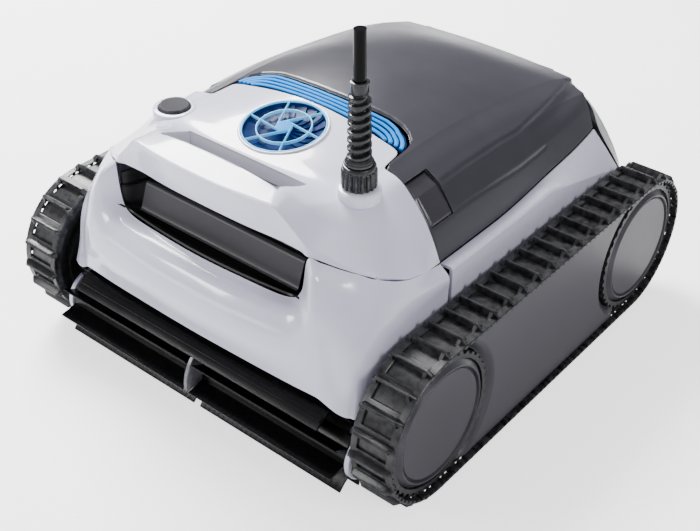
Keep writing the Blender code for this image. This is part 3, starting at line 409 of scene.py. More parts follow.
def plastic(name, colour, shade, worn, rough, grain=0.0007, depth=0.12, dust=0.0, wear=0.2, scratch=0.1,
            metal=0.0, coat=0.0, coat_rough=0.1, specular=0.5, glow=None):
    """A moulded or painted finish: two close colours mottled together, rubbed edges, dust, fine marks and
    grain, and, when glow is given, a painted glow: the base colour given out as emission."""
    material = bpy.data.materials.new(name)
    material.use_nodes = True
    tree = material.node_tree
    shader = tree.nodes["Principled BSDF"]
    shader.inputs["Metallic"].default_value = metal
    shader.inputs["Coat Weight"].default_value = coat
    shader.inputs["Coat Roughness"].default_value = coat_rough
    shader.inputs["Specular IOR Level"].default_value = specular
    place = node(tree, "TexCoord").outputs["Object"]

    def use(group, **values):
        new = node(tree, "Group", node_tree=group)
        tree.links.new(place, new.inputs["Place"])
        for key, value in values.items():
            new.inputs[key.replace("_", " ")].default_value = value
        return new
    skin = use(SKIN, Grain_Size=grain)
    edges = use(WEAR, Amount=wear)
    powder = use(DUST, Amount=dust)
    marks = use(SCRATCH, Amount=scratch)
    base = node(tree, "Mix", {0: skin.outputs["Mottle"], 6: (*colour, 1), 7: (*shade, 1)}, data_type="RGBA")
    rubbed = node(tree, "Mix", {0: edges.outputs["Mask"], 6: base.outputs[2], 7: (*worn, 1)},
                  data_type="RGBA")
    dusty = node(tree, "Mix", {0: powder.outputs["Mask"], 6: rubbed.outputs[2], 7: (0.42, 0.42, 0.41, 1)},
                 data_type="RGBA")
    tree.links.new(dusty.outputs[2], shader.inputs["Base Color"])
    gloss = node(tree, "MapRange", {"Value": skin.outputs["Mottle"], "To Min": rough[0], "To Max": rough[1]})

    def plus(share, mask, rest):
        """A share of a mask added to the rest."""
        return node(tree, "Math", {0: mask, 1: share, 2: rest}, operation="MULTIPLY_ADD").outputs[0]
    dull = plus(0.5, powder.outputs["Mask"], gloss.outputs[0])
    tree.links.new(plus(0.35, marks.outputs["Mask"], dull), shader.inputs["Roughness"])
    height = plus(-0.4, marks.outputs["Mask"], skin.outputs["Grain"])
    bump = node(tree, "Bump", {"Strength": depth, "Distance": 0.0004, "Height": height})
    tree.links.new(bump.outputs[0], shader.inputs["Normal"])
    # painted glow: the base colour shines as emission, on parts that are no lamps
    if glow:
        tree.links.new(base.outputs[2], shader.inputs["Emission Color"])
        shader.inputs["Emission Strength"].default_value = glow
    return material


WHITE = plastic("glossy white shell", (0.72, 0.715, 0.87), (0.75, 0.745, 0.89), (0.94, 0.94, 1.0),
                (0.18, 0.24), grain=0.0016, depth=0.02, dust=0.015, scratch=0.08, coat=0.7, coat_rough=0.05)
LID = plastic("satin grey lid", (0.040, 0.039, 0.050), (0.046, 0.045, 0.056), (0.12, 0.12, 0.14),
              (0.28, 0.34), grain=0.0005, depth=0.07, dust=0.01, wear=0.3, scratch=0.12, metal=0.2,
              coat=0.15, coat_rough=0.18, specular=0.42)
COVER = plastic("satin grey side cover", (0.046, 0.045, 0.054), (0.053, 0.051, 0.061), (0.12, 0.12, 0.135),
                (0.32, 0.38), grain=0.0006, dust=0.01, wear=0.3, scratch=0.18, metal=0.2, specular=0.45)
CAP = plastic("satin grey hub cap", (0.040, 0.039, 0.047), (0.046, 0.044, 0.053), (0.06, 0.06, 0.07),
              (0.30, 0.36), grain=0.0006, dust=0.01, wear=0.3, scratch=0.18, metal=0.2, specular=0.45)
DARK = plastic("matt black plastic", (0.0025, 0.0025, 0.003), (0.0040, 0.0040, 0.0045),
               (0.008, 0.008, 0.009), (0.42, 0.5), depth=0.2, wear=0.3, specular=0.2)
TRACK = plastic("track rubber", (0.0035, 0.0035, 0.004), (0.0060, 0.0060, 0.0068), (0.050, 0.050, 0.054),
                (0.26, 0.36), grain=0.0010, depth=0.2, dust=0.005, wear=0.7, specular=0.36)
WHEEL = plastic("wheel plastic", (0.009, 0.009, 0.010), (0.013, 0.013, 0.014), (0.03, 0.03, 0.033),
                (0.28, 0.38), grain=0.0008, depth=0.15, dust=0.01, wear=0.6, specular=0.4)
FINS = plastic("brush rubber", (0.0012, 0.0012, 0.0014), (0.0022, 0.0022, 0.0026), (0.006, 0.006, 0.007),
               (0.20, 0.28), grain=0.0012, depth=0.15, wear=0.5, scratch=0.08, specular=0.22)
FITTING = plastic("gland plastic", (0.010, 0.010, 0.011), (0.015, 0.015, 0.017), (0.045, 0.045, 0.05),
                  (0.14, 0.22), depth=0.10, wear=0.7, scratch=0.08, specular=0.45)
JACKET = plastic("cable jacket", (0.0012, 0.0012, 0.0015), (0.0022, 0.0022, 0.0026), (0.004, 0.004, 0.004),
                 (0.05, 0.09), grain=0.0009, depth=0.02, wear=0.1, scratch=0.05, specular=0.10)
BUTTON = plastic("button grey", (0.032, 0.031, 0.038), (0.037, 0.036, 0.043), (0.10, 0.10, 0.12),
                 (0.55, 0.62), grain=0.0006, depth=0.14, dust=0.01, wear=0.5, scratch=0.12, specular=0.08)
# painted glow: the light band's ribs and the fan hub give out their own blue, though no lamp is in them
SKY = plastic("light blue lens", (0.005, 0.21, 0.66), (0.008, 0.25, 0.72), (0.05, 0.42, 0.90), (0.36, 0.44),
              grain=0.0012, depth=0.05, scratch=0.04, specular=0.06, glow=0.22)
# painted glow: the fan grille's pale rings give out their own blue, though no lamp is in them
ICE = plastic("pale blue ring", (0.08, 0.50, 0.93), (0.11, 0.55, 0.96), (0.35, 0.78, 1.0), (0.2, 0.28),
              grain=0.0012, depth=0.05, wear=0.5, scratch=0.04, specular=0.2, glow=0.30)
NAVY = plastic("navy lens", (0.0010, 0.016, 0.080), (0.0016, 0.024, 0.11), (0.004, 0.04, 0.16), (0.3, 0.4),
               grain=0.0012, depth=0.06, scratch=0.04, specular=0.12)
STEEL = plastic("stainless steel", (0.55, 0.55, 0.57), (0.62, 0.62, 0.63), (0.8, 0.8, 0.8), (0.22, 0.34),
                grain=0.0004, depth=0.06, dust=0.05, wear=0.3, scratch=0.5, metal=1.0)
GEAR = plastic("gear steel", (0.45, 0.44, 0.43), (0.52, 0.51, 0.50), (0.8, 0.8, 0.8), (0.3, 0.42),
               grain=0.0005, depth=0.1, dust=0.1, wear=0.5, scratch=0.4, metal=1.0)
# painted shade: the white shell's lilac darkened, for the border of the shaded finger trough
TROUGH_PAINTED_SHADE = plastic("trough painted shade", (0.34, 0.34, 0.40), (0.38, 0.38, 0.44), (0.5, 0.5, 0.56), (0.3, 0.4),
                      depth=0.08, dust=0.01, scratch=0.08, coat=0.3)
STRAP_GREY = plastic("strap grey", (0.13, 0.13, 0.145), (0.16, 0.16, 0.175), (0.3, 0.3, 0.32), (0.25, 0.35),
                     depth=0.08, wear=0.4)
# painted light: a grey strip where light reaches the handle pocket's back wall
BAND_PAINTED_LIGHT = plastic("pocket band painted light", (0.050, 0.049, 0.056), (0.058, 0.057, 0.064), (0.09, 0.09, 0.10),
                    (0.36, 0.44), specular=0.3)
# painted shade: near black for the shaded handle pocket
POCKET_PAINTED_SHADE = plastic("pocket painted shade", (0.0035, 0.0035, 0.0042), (0.0050, 0.0050, 0.0058), (0.02, 0.02, 0.022),
                 (0.3, 0.4), specular=0.25)
MOTOR = plastic("painted motor can", (0.16, 0.16, 0.17), (0.20, 0.20, 0.21), (0.5, 0.5, 0.5), (0.35, 0.48),
                grain=0.0008, depth=0.15, dust=0.1, wear=0.5, scratch=0.3, metal=0.8)


# ---- sizes that the pieces share with the solids ------------------------------
AXLE_Y, AXLE_Z = 145.5, 67.8
BELT_R, BELT_THICK = 60.0, 3.0
BELT_IN, BELT_OUT = 162.0, 200.0
PORT_X, PORT_Y = 94.8, -117.0
FAN_AT, FAN_TILT, FAN_R = (0.0, -92.0, 221.6), math.radians(7.0), 33.6
BRUSH_Y, BRUSH_Z, BRUSH_R, CORE_R = -181.0, 40.5, 36.0, 20.0
AXLE_BORE = 5.3
SIDES = ((-1, "left"), (1, "right"))


def swing_fan(points):
    """Turn points from the fan's own plane to the tilted roof."""
    c, s = math.cos(FAN_TILT), math.sin(FAN_TILT)
    x, y, z = np.moveaxis(points, -1, 0)
    return np.stack([x, c * y - s * z, s * y + c * z], -1) + FAN_AT


# ---- the cable stub and its gland ---------------------------------------------
def cable():
    """A straight stub of round cable, out of the gland and up through the strain relief, in metres."""
    curve = bpy.data.curves.new("cable_stub", "CURVE")
    curve.dimensions = "3D"
    curve.bevel_depth = 0.0046
    curve.bevel_resolution = 12
    curve.use_fill_caps = True
    spline = curve.splines.new("POLY")
    heights = np.linspace(0.204, 0.340, 18)
    spline.points.add(len(heights) - 1)
    same = np.ones(len(heights))
    points = np.stack([PORT_X * MM * same, PORT_Y * MM * same, heights, same], -1)
    spline.points.foreach_set("co", points.ravel())
    spline.use_smooth = True
    curve.materials.append(JACKET)
    obj = put("cable_stub", curve)
    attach(obj, CHASSIS)
    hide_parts("power_cable")
    return obj


def strain_relief():
    """Round sleeve whose radius swells along a helix: one turn every 6.7 mm, 3.5 mm deep at
    the foot and 2.6 at the top, faded at both ends."""
    low, high, turns = 237.3, 302.0, 7
    coil_low, coil_high = 243.5, 290.5
    z = np.linspace(241.5, 292.5, 200)[:, None]
    angle = 2 * math.pi * np.arange(56) / 56
    phase = ((z - coil_low) * turns / (coil_high - coil_low) - angle / (2 * math.pi)) % 1.0
    ridge = step(0.08, 0.16, phase) * (1 - step(0.46, 0.54, phase))
    ridge = ridge * step(coil_low - 1.5, coil_low, z) * (1 - step(coil_high, coil_high + 1.5, z))
    radius = 5.5 + (3.5 - 0.9 * (z - coil_low) / (coil_high - coil_low)) * ridge
    coil = np.stack([radius * np.cos(angle), radius * np.sin(angle), np.broadcast_to(z, radius.shape)], -1)
    collar = [(4.9, low), (9.0, low), (10.6, low + 0.6), (10.6, low + 2.2), (9.9, low + 2.8),
              (9.9, low + 3.6), (9.2, low + 4.4), (7.4, low + 5.6), (5.2, low + 5.8), (4.9, low + 5)]
    sleeve = [(4.9, high), (6.3, high), (6.9, high - 0.4), (6.9, high - 1.5), (6.45, high - 1.9),
              (6.45, high - 8.2), (5.9, high - 9.2), (5.9, high - 10.6), (4.9, high - 10.6)]
    at = (PORT_X, PORT_Y, 0)
    parts = [tube(coil + at), turned(collar, at), turned(sleeve, at)]
    return solid("ribbed_strain_relief", parts, FITTING, stands_for=["strain_relief"])


def gland():
    """Nut with 18 flutes, r = 13.2 less up to 1.4 between the ribs, a plain top rim, and the round pad
    under it."""
    angle = 2 * math.pi * np.arange(216) / 216
    flute = step(0.15, 0.75, 0.5 - 0.5 * np.cos(18 * angle))
    levels = [(218.7, 11.8, 0.9), (219.4, 13.0, 1.3), (220.2, 13.25, 1.4), (232.6, 13.1, 1.4),
              (233.4, 12.6, 0.4), (233.7, 12.2, 0.0), (236.0, 12.2, 0.0), (236.8, 11.7, 0.0),
              (237.0, 10.9, 0.0), (236.2, 10.7, 0.0), (235.9, 5.0, 0.0), (218.7, 5.0, 0.0)]
    loops = [np.stack([(r - cut * flute) * np.cos(angle), (r - cut * flute) * np.sin(angle),
                       np.full(216, z)], -1) for z, r, cut in levels]
    at = np.array([PORT_X, PORT_Y, 0.0])
    solid("fluted_gland_nut", [tube(np.array(loops) + at, closed=True)], FITTING, stands_for=["gland_nut"])
    pad = [(4.9, 200), (9.6, 200), (9.6, 209), (16.2, 209), (16.4, 215.9), (16.1, 217.2), (15.4, 218.0),
           (14.2, 218.4), (4.9, 218.4)]
    solid("gland_pad", [turned(pad, at)], WHITE, stands_for=["gland_base"])


def button():
    """Power button with a dished top and a round shoulder, and the low white collar that it sinks into."""
    at = (-PORT_X, PORT_Y, 0)
    top = [(0, 203), (9, 203), (9, 207), (12.7, 207), (12.7, 215.9), (12.5, 216.7), (11.9, 217.3),
           (11.2, 217.6), (10.3, 217.55), (8, 217.25), (4, 217.0), (0, 216.95)]
    solid("dished_power_button", [turned(top, at)], BUTTON, "power_button", ["power_button"],
          crease=50)
    collar = [(13.3, 207), (13.3, 214.6), (13.8, 215.3), (15.2, 215.4), (16.8, 214.9), (17.4, 213.8),
              (17.4, 207)]
    solid("button_collar", [turned(collar, at)], WHITE)


stub = cable()
relief = strain_relief()
gland()
button()


# ---- tracks ---------------------------------------------------------------------
LINKS = 49
STRAIGHT = 2 * AXLE_Y
ARC = math.pi * (BELT_R + BELT_THICK / 2)
PITCH = 2 * (STRAIGHT + ARC) / LINKS


def belt(s, height):
    """Point (y, z) at s along the belt and a height over the wheels' centre line: two straights and two
    arcs."""
    s = np.asarray(s, float) % (2 * (STRAIGHT + ARC))
    leg = np.searchsorted([STRAIGHT, STRAIGHT + ARC, 2 * STRAIGHT + ARC], s, side="right")
    turn1 = math.pi / 2 - math.pi * (s - STRAIGHT) / ARC
    turn2 = -math.pi / 2 - math.pi * (s - 2 * STRAIGHT - ARC) / ARC
    cy = np.choose(leg, [s - AXLE_Y, AXLE_Y, AXLE_Y - (s - STRAIGHT - ARC), -AXLE_Y])
    ny = np.choose(leg, [0, np.cos(turn1), 0, np.cos(turn2)])
    nz = np.choose(leg, [1, np.sin(turn1), -1, np.sin(turn2)])
    return cy + ny * height, AXLE_Z + nz * height


def rail(xs, low, high, s):
    """Closed ring of belt: a bevelled rectangle between two x and two heights at every s."""
    x0, x1 = xs
    b = 0.5
    x = np.array([x0, x0, x0 + b, x1 - b, x1, x1, x1 - b, x0 + b])
    rise = np.stack([low + b, high - b, high, high, high - b, low + b, low, low], -1)
    y, z = belt(s[:, None], rise)
    return tube(np.stack([np.broadcast_to(x, y.shape), y, z], -1), closed=True)


def bars(profile, stations):
    """One closed bar per link: a profile of (s, height), scaled in height and in length at each x station."""
    s, h = np.array(profile, float).T
    x, keep, shrink = np.array(stations, float).T
    start = np.arange(LINKS) * PITCH
    along = s.mean() + (s - s.mean()) * shrink[:, None]
    height = h[0] + (h - h[0]) * keep[:, None]
    y, z = belt(start[:, None, None] + along, np.broadcast_to(height, (LINKS, *height.shape)))
    return prisms(np.stack([np.broadcast_to(x[:, None], y.shape), y, z], -1))


def tracks():
    """Ladder belt: two rails, and per link a cross bar, a grouser with a steep and a slanted face, a gusset
    at its outer end and a pointed lug at its inner end.  The outer rail is notched on its inner edge for
    the sprocket; a thin lining closes the windows and a guide lip runs down inside the wheels."""
    fine = np.arange(LINKS * 24) * PITCH / 24
    notched = BELT_R + 1.7 * (np.arange(LINKS * 24) % 8 >= 4)
    plain = np.arange(LINKS * 6) * PITCH / 6
    flat = np.full(len(plain), BELT_R)
    bar = [(0.2, 60.2), (8.2, 60.2), (8.2, 62.6), (7.8, 63.0), (4.6, 63.0), (2.9, 67.1), (2.5, 67.5),
           (1.2, 67.8), (0.7, 67.5), (0.4, 66.9)]
    seam = [(1.0, 67.6), (2.6, 67.2), (2.6, 67.5), (1.0, 67.9)]
    gusset = [(-3.0, 62.6), (1.0, 62.6), (1.0, 66.6), (0.2, 66.4), (-1.4, 64.2)]
    lug = [(-1.6, 61.2), (3.4, 61.2), (3.2, 64.2), (0.4, 66.4), (-0.6, 65.2)]
    bar_x = [(163.5, 0.72, 0.9), (165.4, 1, 1), (192.4, 1, 1), (195.4, 1, 1), (199.2, 0.55, 0.92)]
    inner_rail = rail((BELT_IN, 167.6), flat, flat + BELT_THICK, plain)
    outer_rail = rail((193.6, BELT_OUT), notched, np.full(len(fine), BELT_R + BELT_THICK), fine)
    lining = rail((167.3, 193.9), flat - 0.1, flat + 0.9, plain)
    guide_lip = rail((BELT_IN, 164.2), flat - 4.0, flat + 1.4, plain)
    parts = [inner_rail, outer_rail, bars(bar, bar_x),
             bars(gusset, [(192.6, 1, 1), (193.2, 1, 1), (195.4, 1, 1)]),
             bars(lug, [(160.9, 0.45, 0.5), (162.6, 1, 1), (166.0, 1, 1)]),
             bars(seam, [(166.0, 1, 1), (194.0, 1, 1)]), lining, guide_lip]
    for side, word in SIDES:
        solid(f"rubber_track_{word}", [at_side(side, part) for part in parts], TRACK,
              stands_for=[f"track_{word}"], crease=28)


tracks()


# ---- wheels, hub caps and side covers --------------------------------------------
def hub_caps():
    """Cap: dished disc, a groove, a slanted ring that leans outwards to the rim, and a thin dark lip."""
    profile = [(0, 189.4), (52.2, 189.4), (52.6, 190.0), (52.6, 193.2), (52.3, 193.8), (51.8, 194.1),
               (48.3, 197.2), (47.6, 197.4), (47.0, 197.1), (46.5, 195.2), (46.1, 194.6), (45.6, 194.7),
               (45.2, 195.6), (44.4, 196.2), (30, 196.2), (12, 196.1), (0, 196.1)]
    for side, word in SIDES:
        for end, y in (("front", -AXLE_Y), ("rear", AXLE_Y)):
            solid(f"bevelled_hub_cap_{end}_{word}", [ring(profile, side, (0, y, AXLE_Z), segments=128)], CAP,
                  f"wheel_{end}_{word}", [f"hub_cap_{end}_{word}"], crease=24)


def side_covers():
    """Panel between the wheels: flat at x = 196.6, scooped 6 mm down towards each wheel over 8.4 mm, with
    rounded long edges, and two posts that reach in to the side frame."""
    v = np.concatenate([[-58.0, -57.8, -57.2, -56.2], np.linspace(-55, 55, 73),
                        [56.2, 57.2, 57.8, 58.0]])[:, None]
    share = np.linspace(-1, 1, 161)
    share = np.sign(share) * (1 - (1 - np.abs(share)) ** 1.6)
    reach = AXLE_Y - np.sqrt(np.maximum(59.6 ** 2 - v ** 2, 1.0))
    y = reach * share
    radius = np.hypot(AXLE_Y - np.abs(y), v)
    top = 190.6 + 6.0 * step(59.6, 68.0, radius) ** 0.8
    top = top - 1.4 * (1 - np.sqrt((1 - ((np.abs(v) - 56.4).clip(0) / 1.6) ** 2).clip(0)))
    grid = np.stack([top, y, AXLE_Z + v + 0 * y], -1)
    panel = slab(grid, np.stack([0 * top + 189.3, grid[..., 1], grid[..., 2]], -1))
    post = [(0, 160.7), (7, 160.7), (7, 190.5), (0, 190.5)]
    for side, word in SIDES:
        posts = [ring(post, side, (0, at, AXLE_Z), segments=32) for at in (-60, 60)]
        solid(f"scooped_side_cover_{word}", [at_side(side, panel), *posts], COVER,
              stands_for=[f"side_cover_{word}"], crease=40)


hub_caps()
side_covers()


# ---- roof shape: lid, light band, deck --------------------------------------------
# Rows are (y, z) for the roof and the seam, (fall, x) for the side, and (share of the half width, y) for
# the edges.
ROOF_MIDDLE = [(-150, 215), (-92, 221.5), (-46, 227.5), (0, 229), (60, 224.5), (120, 211), (187, 184.5)]
ROOF_SHOULDER = [(-150, 212), (-82, 214), (0, 214), (33, 211), (73, 206), (115, 200), (145, 194), (187, 181)]
SIDE_DROP = [(0, 0), (3, 14), (10, 24), (26, 38), (40, 46), (60, 54)]
SEAM_HEIGHT = [(-84, 154.5), (26, 155), (73, 157), (123, 158), (160, 159)]
BAND_FRONT = [(0, -55), (0.5, -55), (0.955, -56.5)]
BAND_REAR = [(0, -39), (0.3, -38), (0.63, -34.5), (0.755, -36), (0.855, -39.5), (0.93, -46), (0.955, -53)]
LID_FRONT = [(0, -36.5), (0.3, -35.5), (0.63, -32), (0.755, -33), (0.855, -36.5), (0.93, -42.5), (0.965, -52),
             (0.985, -77), (1.02, -81), (1.3, -83), (2.0, -83)]
LID_REAR = [(0, 182.5), (1.0, 182.5), (1.12, 179), (1.3, 173), (1.55, 167), (2.0, 156)]
CORNERS = np.array([1.0, 1.39, 1.70, 2.0])      # where the lid's side is folded


def line(rows, at):
    """Straight pieces through (place, value) rows."""
    return np.interp(at, *np.array(rows, float).T)


def roof(across, y):
    """Roof: |a| < 1 is a crown over the shoulder, 1..2 runs down the side with the square-root-like
    SIDE_DROP."""
    reach = np.abs(across)
    shoulder = table(ROOF_SHOULDER, y)
    crown = shoulder + (table(ROOF_MIDDLE, y) - shoulder) * (1 - np.minimum(reach, 1) ** 2)
    fall = (shoulder - table(SEAM_HEIGHT, y)) * np.clip(reach - 1, 0, None) ** 1.5
    x = np.where(reach <= 1, 90 * reach, 90 + table(SIDE_DROP, fall))
    return np.stack([np.sign(across) * x, y + 0 * across, np.where(reach <= 1, crown, shoulder - fall)], -1)


def folded_roof(across, y):
    """The roof with its sides drawn part way to flat facets between the fold lines."""
    smooth = roof(across, y)
    reach = np.abs(across)
    i = np.clip(np.searchsorted(CORNERS, reach, side="right") - 1, 0, 2)
    a, b = CORNERS[i], CORNERS[i + 1]
    t = np.clip((reach - a) / (b - a), 0, 1)[..., None]
    flat = roof(np.sign(across) * a, y) * (1 - t) + roof(np.sign(across) * b, y) * t
    return np.where(reach[..., None] > 1, 0.25 * smooth + 0.75 * flat, smooth)


def lid():
    """Lid on a fine grid: folded sides, a long V groove that opens into a scoop, and a rolled front lip."""
    half = np.concatenate([np.linspace(0, 0.84, 50), np.linspace(0.85, 1.06, 45), np.linspace(1.07, 2.0, 66)])
    across = np.concatenate([-half[:0:-1], half])[None, :]
    share = np.concatenate([[0, 0.002, 0.005, 0.01, 0.016, 0.024], np.linspace(0.034, 0.99, 130),
                            [0.995, 1.0]])
    front, rear = line(LID_FRONT, np.abs(across)), line(LID_REAR, np.abs(across))
    y = front + (rear - front) * share[:, None]
    across = across + 0 * y
    grid = folded_roof(across, y)
    normal = normals(grid)
    mirror = grid * np.where(grid[..., :1] < 0, (-1.0, 1.0, 1.0), (1.0, 1.0, 1.0))
    groove = roof(np.array([1.395, 1.39, 1.39, 1.40, 1.31, 1.20, 1.08]),
                  np.array([-50.0, -20, 25, 56, 99, 135, 172]))
    shallow = distance(mirror, groove)
    scoop = step(50, 150, grid[..., 1]) * step(0, 9, shallow) * (1 - step(9, 22, shallow))
    below = (np.abs(across) > line([(-60, 1.39), (56, 1.40), (99, 1.31), (135, 1.2), (172, 1.08)],
                                   grid[..., 1]))
    depth = 1.1 * (1 - step(0.3, 2.4, shallow)) + 2.2 * scoop * below
    low = roof(np.array([1.705, 1.70, 1.72, 1.75, 1.75]), np.array([-81.0, -30, 9, 38, 80]))
    depth = depth + 0.5 * (1 - step(0.2, 1.8, distance(mirror, low)))
    grid = grid - depth[..., None] * normal
    grid = relax(grid, 2)
    edge = step(0, 0.012, share)[:, None]
    grid[..., 2] -= 1.5 * (1 - edge) ** 2
    cover = solid("folded_lid", [sheet(grid, 3.0)], LID, "lid", ["lid"], crease=24)
    carve(cover, *[tool(sheet(latch_patch(side, 0.9, 24), 7.5, 7.0)) for side, _ in SIDES])


def latch_patch(side, margin, count):
    """The latch's place on the lid: a rectangle of the folded roof, widened by a margin in millimetres."""
    y = np.linspace(-79 - margin, -54 + margin, count)[:, None]
    a = np.linspace(1.22 - margin * 0.012, 1.70 + margin * 0.012, count)[None, :]
    return folded_roof(side * (a + 0 * y), y + 0 * a)


def latches():
    """Press tabs in the lid's front corners: a dish for the finger, 2.4 mm at its deepest, and rounded
    edges."""
    count = 40
    u, v = np.meshgrid(np.linspace(-1, 1, count), np.linspace(-1, 1, count), indexing="ij")
    bowl = 1.9 * (1 - step(-1.0, 0.7, v)) + 0.5 * (1 - step(0.2, 0.9, np.hypot(u, v)))
    edge = 0.7 * (1 - np.minimum(step(0, 0.12, 1 - np.abs(u)), step(0, 0.08, 1 - np.abs(v))))
    for side, word in SIDES:
        patch = latch_patch(side, 0.0, count)
        patch = patch - (bowl + edge)[..., None] * normals(patch)
        solid(f"dished_latch_{word}", [sheet(patch, 1.2, -0.3)], CAP, f"lid_latch_{word}",
              [f"lid_latch_{word}"], crease=30)


def light_band():
    """Navy trough under four rounded light ribs.  Away from the ends a rib keeps its share of the band's
    depth; at the ends the ribs close round in concentric arcs onto the front edge."""
    a = np.linspace(-0.955, 0.955, 121)[None, :]
    front, rear = line(BAND_FRONT, np.abs(a)), line(BAND_REAR, np.abs(a))
    share = np.linspace(0, 1, 9)[:, None]
    base = roof(a + 0 * share, front + 0.9 + (rear - front - 1.6) * share)
    base[..., 2] -= 1.9 - 0.3 * (share - 0.5) ** 2
    navy, sky = range(2)
    parts = [(*sheet(base, 1.4), navy)]
    t = np.linspace(-1, 1, 161)
    flank, crown = blunt(16, 0.7, 0.8)
    ribs = 4
    for k in range(ribs):
        share = (k + 0.5) / ribs
        end = 0.745 + 0.21 * share
        path_a = end * np.sin(t * math.pi / 2)
        bend = np.clip((np.abs(path_a) - 0.66) / (end - 0.66), 0, 1)
        front, rear = line(BAND_FRONT, np.abs(path_a)), line(BAND_REAR, np.minimum(np.abs(path_a), 0.80))
        y = front + (rear - front) * share * np.sqrt(1 - bend ** 2 * 0.985)
        centre = roof(path_a, y)
        along = unit(np.gradient(centre, axis=0))
        side = unit(np.cross((0, 0, 1), along))
        up = np.cross(along, side)
        width = 1.42 + 0.22 * (np.abs(path_a) / 0.9) ** 2
        loops = (centre[:, None] + (width[:, None] * flank)[..., None] * side[:, None]
                 + (0.9 * crown - 0.9)[None, :, None] * up[:, None])
        parts.append((*tube(loops), sky))
    solid("ribbed_light_band", parts, [NAVY, SKY], stands_for=["light_band"], crease=30)


lid()
latches()
light_band()


# ---- deck with the handle bar, front shell and side panels ---------------------------
# Rows from the light band down to the slot, points from the middle out to the flank.
DECK_ROWS = [
    [(0, -56.3, 225.9), (40, -56.3, 222.9), (85.2, -57.6, 215.0), (88.4, -81.6, 213.6), (104, -83.6, 212),
     (114, -83.6, 204.5), (128, -84, 189), (137, -84.4, 175), (145.8, -85, 156.4)],
    [(0, -92, 221.5), (40, -92, 219.8), (82, -92, 214.5), (91, -98, 213.6), (105, -100, 210.5),
     (118, -101, 200), (131, -102, 186), (141, -103, 173), (149.3, -104, 161.4)],
    [(0, -118, 218), (40, -118, 217), (80, -118, 214.5), (92, -118, 213.4), (106, -118, 209),
     (120, -118, 199), (132, -118, 186), (142.5, -117, 174), (150.4, -116, 165.0)],
    [(0, -139, 216), (38, -139, 216), (72, -137, 215.5), (88, -136, 212.5), (102, -136, 207),
     (115, -135, 198), (128, -134, 187), (139, -132, 178), (149, -129, 168)],
    [(0, -166, 230), (38, -165, 228.5), (66, -162, 225), (82, -158, 216), (96, -155, 205),
     (109, -152, 197), (121, -149, 188.5), (133, -146, 180.5), (143, -143, 174)],
    [(0, -190, 225), (38, -188, 224.7), (72, -181.5, 223), (86, -178, 208), (97, -176, 198),
     (106, -171, 193), (117, -165, 187), (128, -157, 181), (138, -150, 177.3)],
    [(0, -183, 196), (38, -181, 194.5), (72, -176, 192), (91, -176, 191.5), (98, -177.5, 191),
     (106, -173.5, 189), (117, -167, 184.5), (128, -159, 180), (138, -151.5, 176.3)],
]


TROUGH = [(-57, -165.5), (60, -165.5), (62, -136), (-58, -136)]
BORDER_WALL = 1.8


def drill(radius, low, high):
    """The profile of a plain round cutter."""
    return [(0, low), (radius, low), (radius, high), (0, high)]


def deck():
    """Upper shell from the light band to the slot's upper edge, with the bar's folds, the finger trough
    behind the bar and the holes for the fan, the gland and the button."""
    grid = both_ways(mirrored(DECK_ROWS), 14, 8, (4, 5), (5, 6, 10, 11))
    grid = relax(grid, 2)
    shell = solid("white_deck", [sheet(grid, 2.6)], WHITE, stands_for=["deck_shell"],
                  crease=40)
    points, faces = turned(drill(FAN_R + 0.5, -20, 20), (0, 0, 0), segments=96)
    carve(shell, tool(plate(TROUGH, 190, 240, "z")), tool((swing_fan(points), faces)),
          tool(turned(drill(10, 190, 230), (PORT_X, PORT_Y, 0))),
          tool(turned(drill(13.4, 190, 230), (-PORT_X, PORT_Y, 0))))


def trough_liner():
    """Finger trough behind the bar: a border that slants inwards as it drops 7.5 mm, grey as painted shade on
    the white plastic, and a black well, which is painted shade.
    A ring of either is the outline drawn towards its middle by a share along X and along Y, and lowered."""
    edge = np.array([(x, y, 214.9 if y > -150 else 227.2) for x, y in TROUGH], float)
    centre = np.array([2.0, -151.5, 0.0])
    reach = np.array([(1.0, 1.0, 0.0), (0.99, 0.97, -0.4), (0.90, 0.62, -7.5), (0.885, 0.58, -10),
                      (0.88, 0.57, -26)])
    loops = [centre + (edge - centre) * (u, v, 1) + (0, 0, fall) for u, v, fall in reach]
    outer = [loop + (loop - centre) * (0.012, 0.05, 0) - (0, 0, BORDER_WALL) for loop in loops]
    floor, under = loops[4] * (1, 1, 0) + (0, 0, 193), outer[4] * (1, 1, 0) + (0, 0, 191)
    border = tube([*loops[:3], *[loop - (0, 0, BORDER_WALL) for loop in loops[2::-1]]], closed=True)
    well = tube([loops[2] - (0, 0, 0.2), loops[3], floor + (0, 0, 2), floor, under, outer[3] - (0, 0, 1),
                 outer[2] - (0, 0, 0.5)], closed=True)
    pan = tube([floor - (0, 0, 0.2), floor - (0, 0, 1.6)])
    # painted shade: the grey border stands for white plastic in shade
    solid("trough_border_painted_shade", [border], TROUGH_PAINTED_SHADE, crease=30)
    # painted shade: a black well put where the trough lies in the bar's shadow
    solid("trough_well_painted_shade", [well, pan], DARK, crease=30)


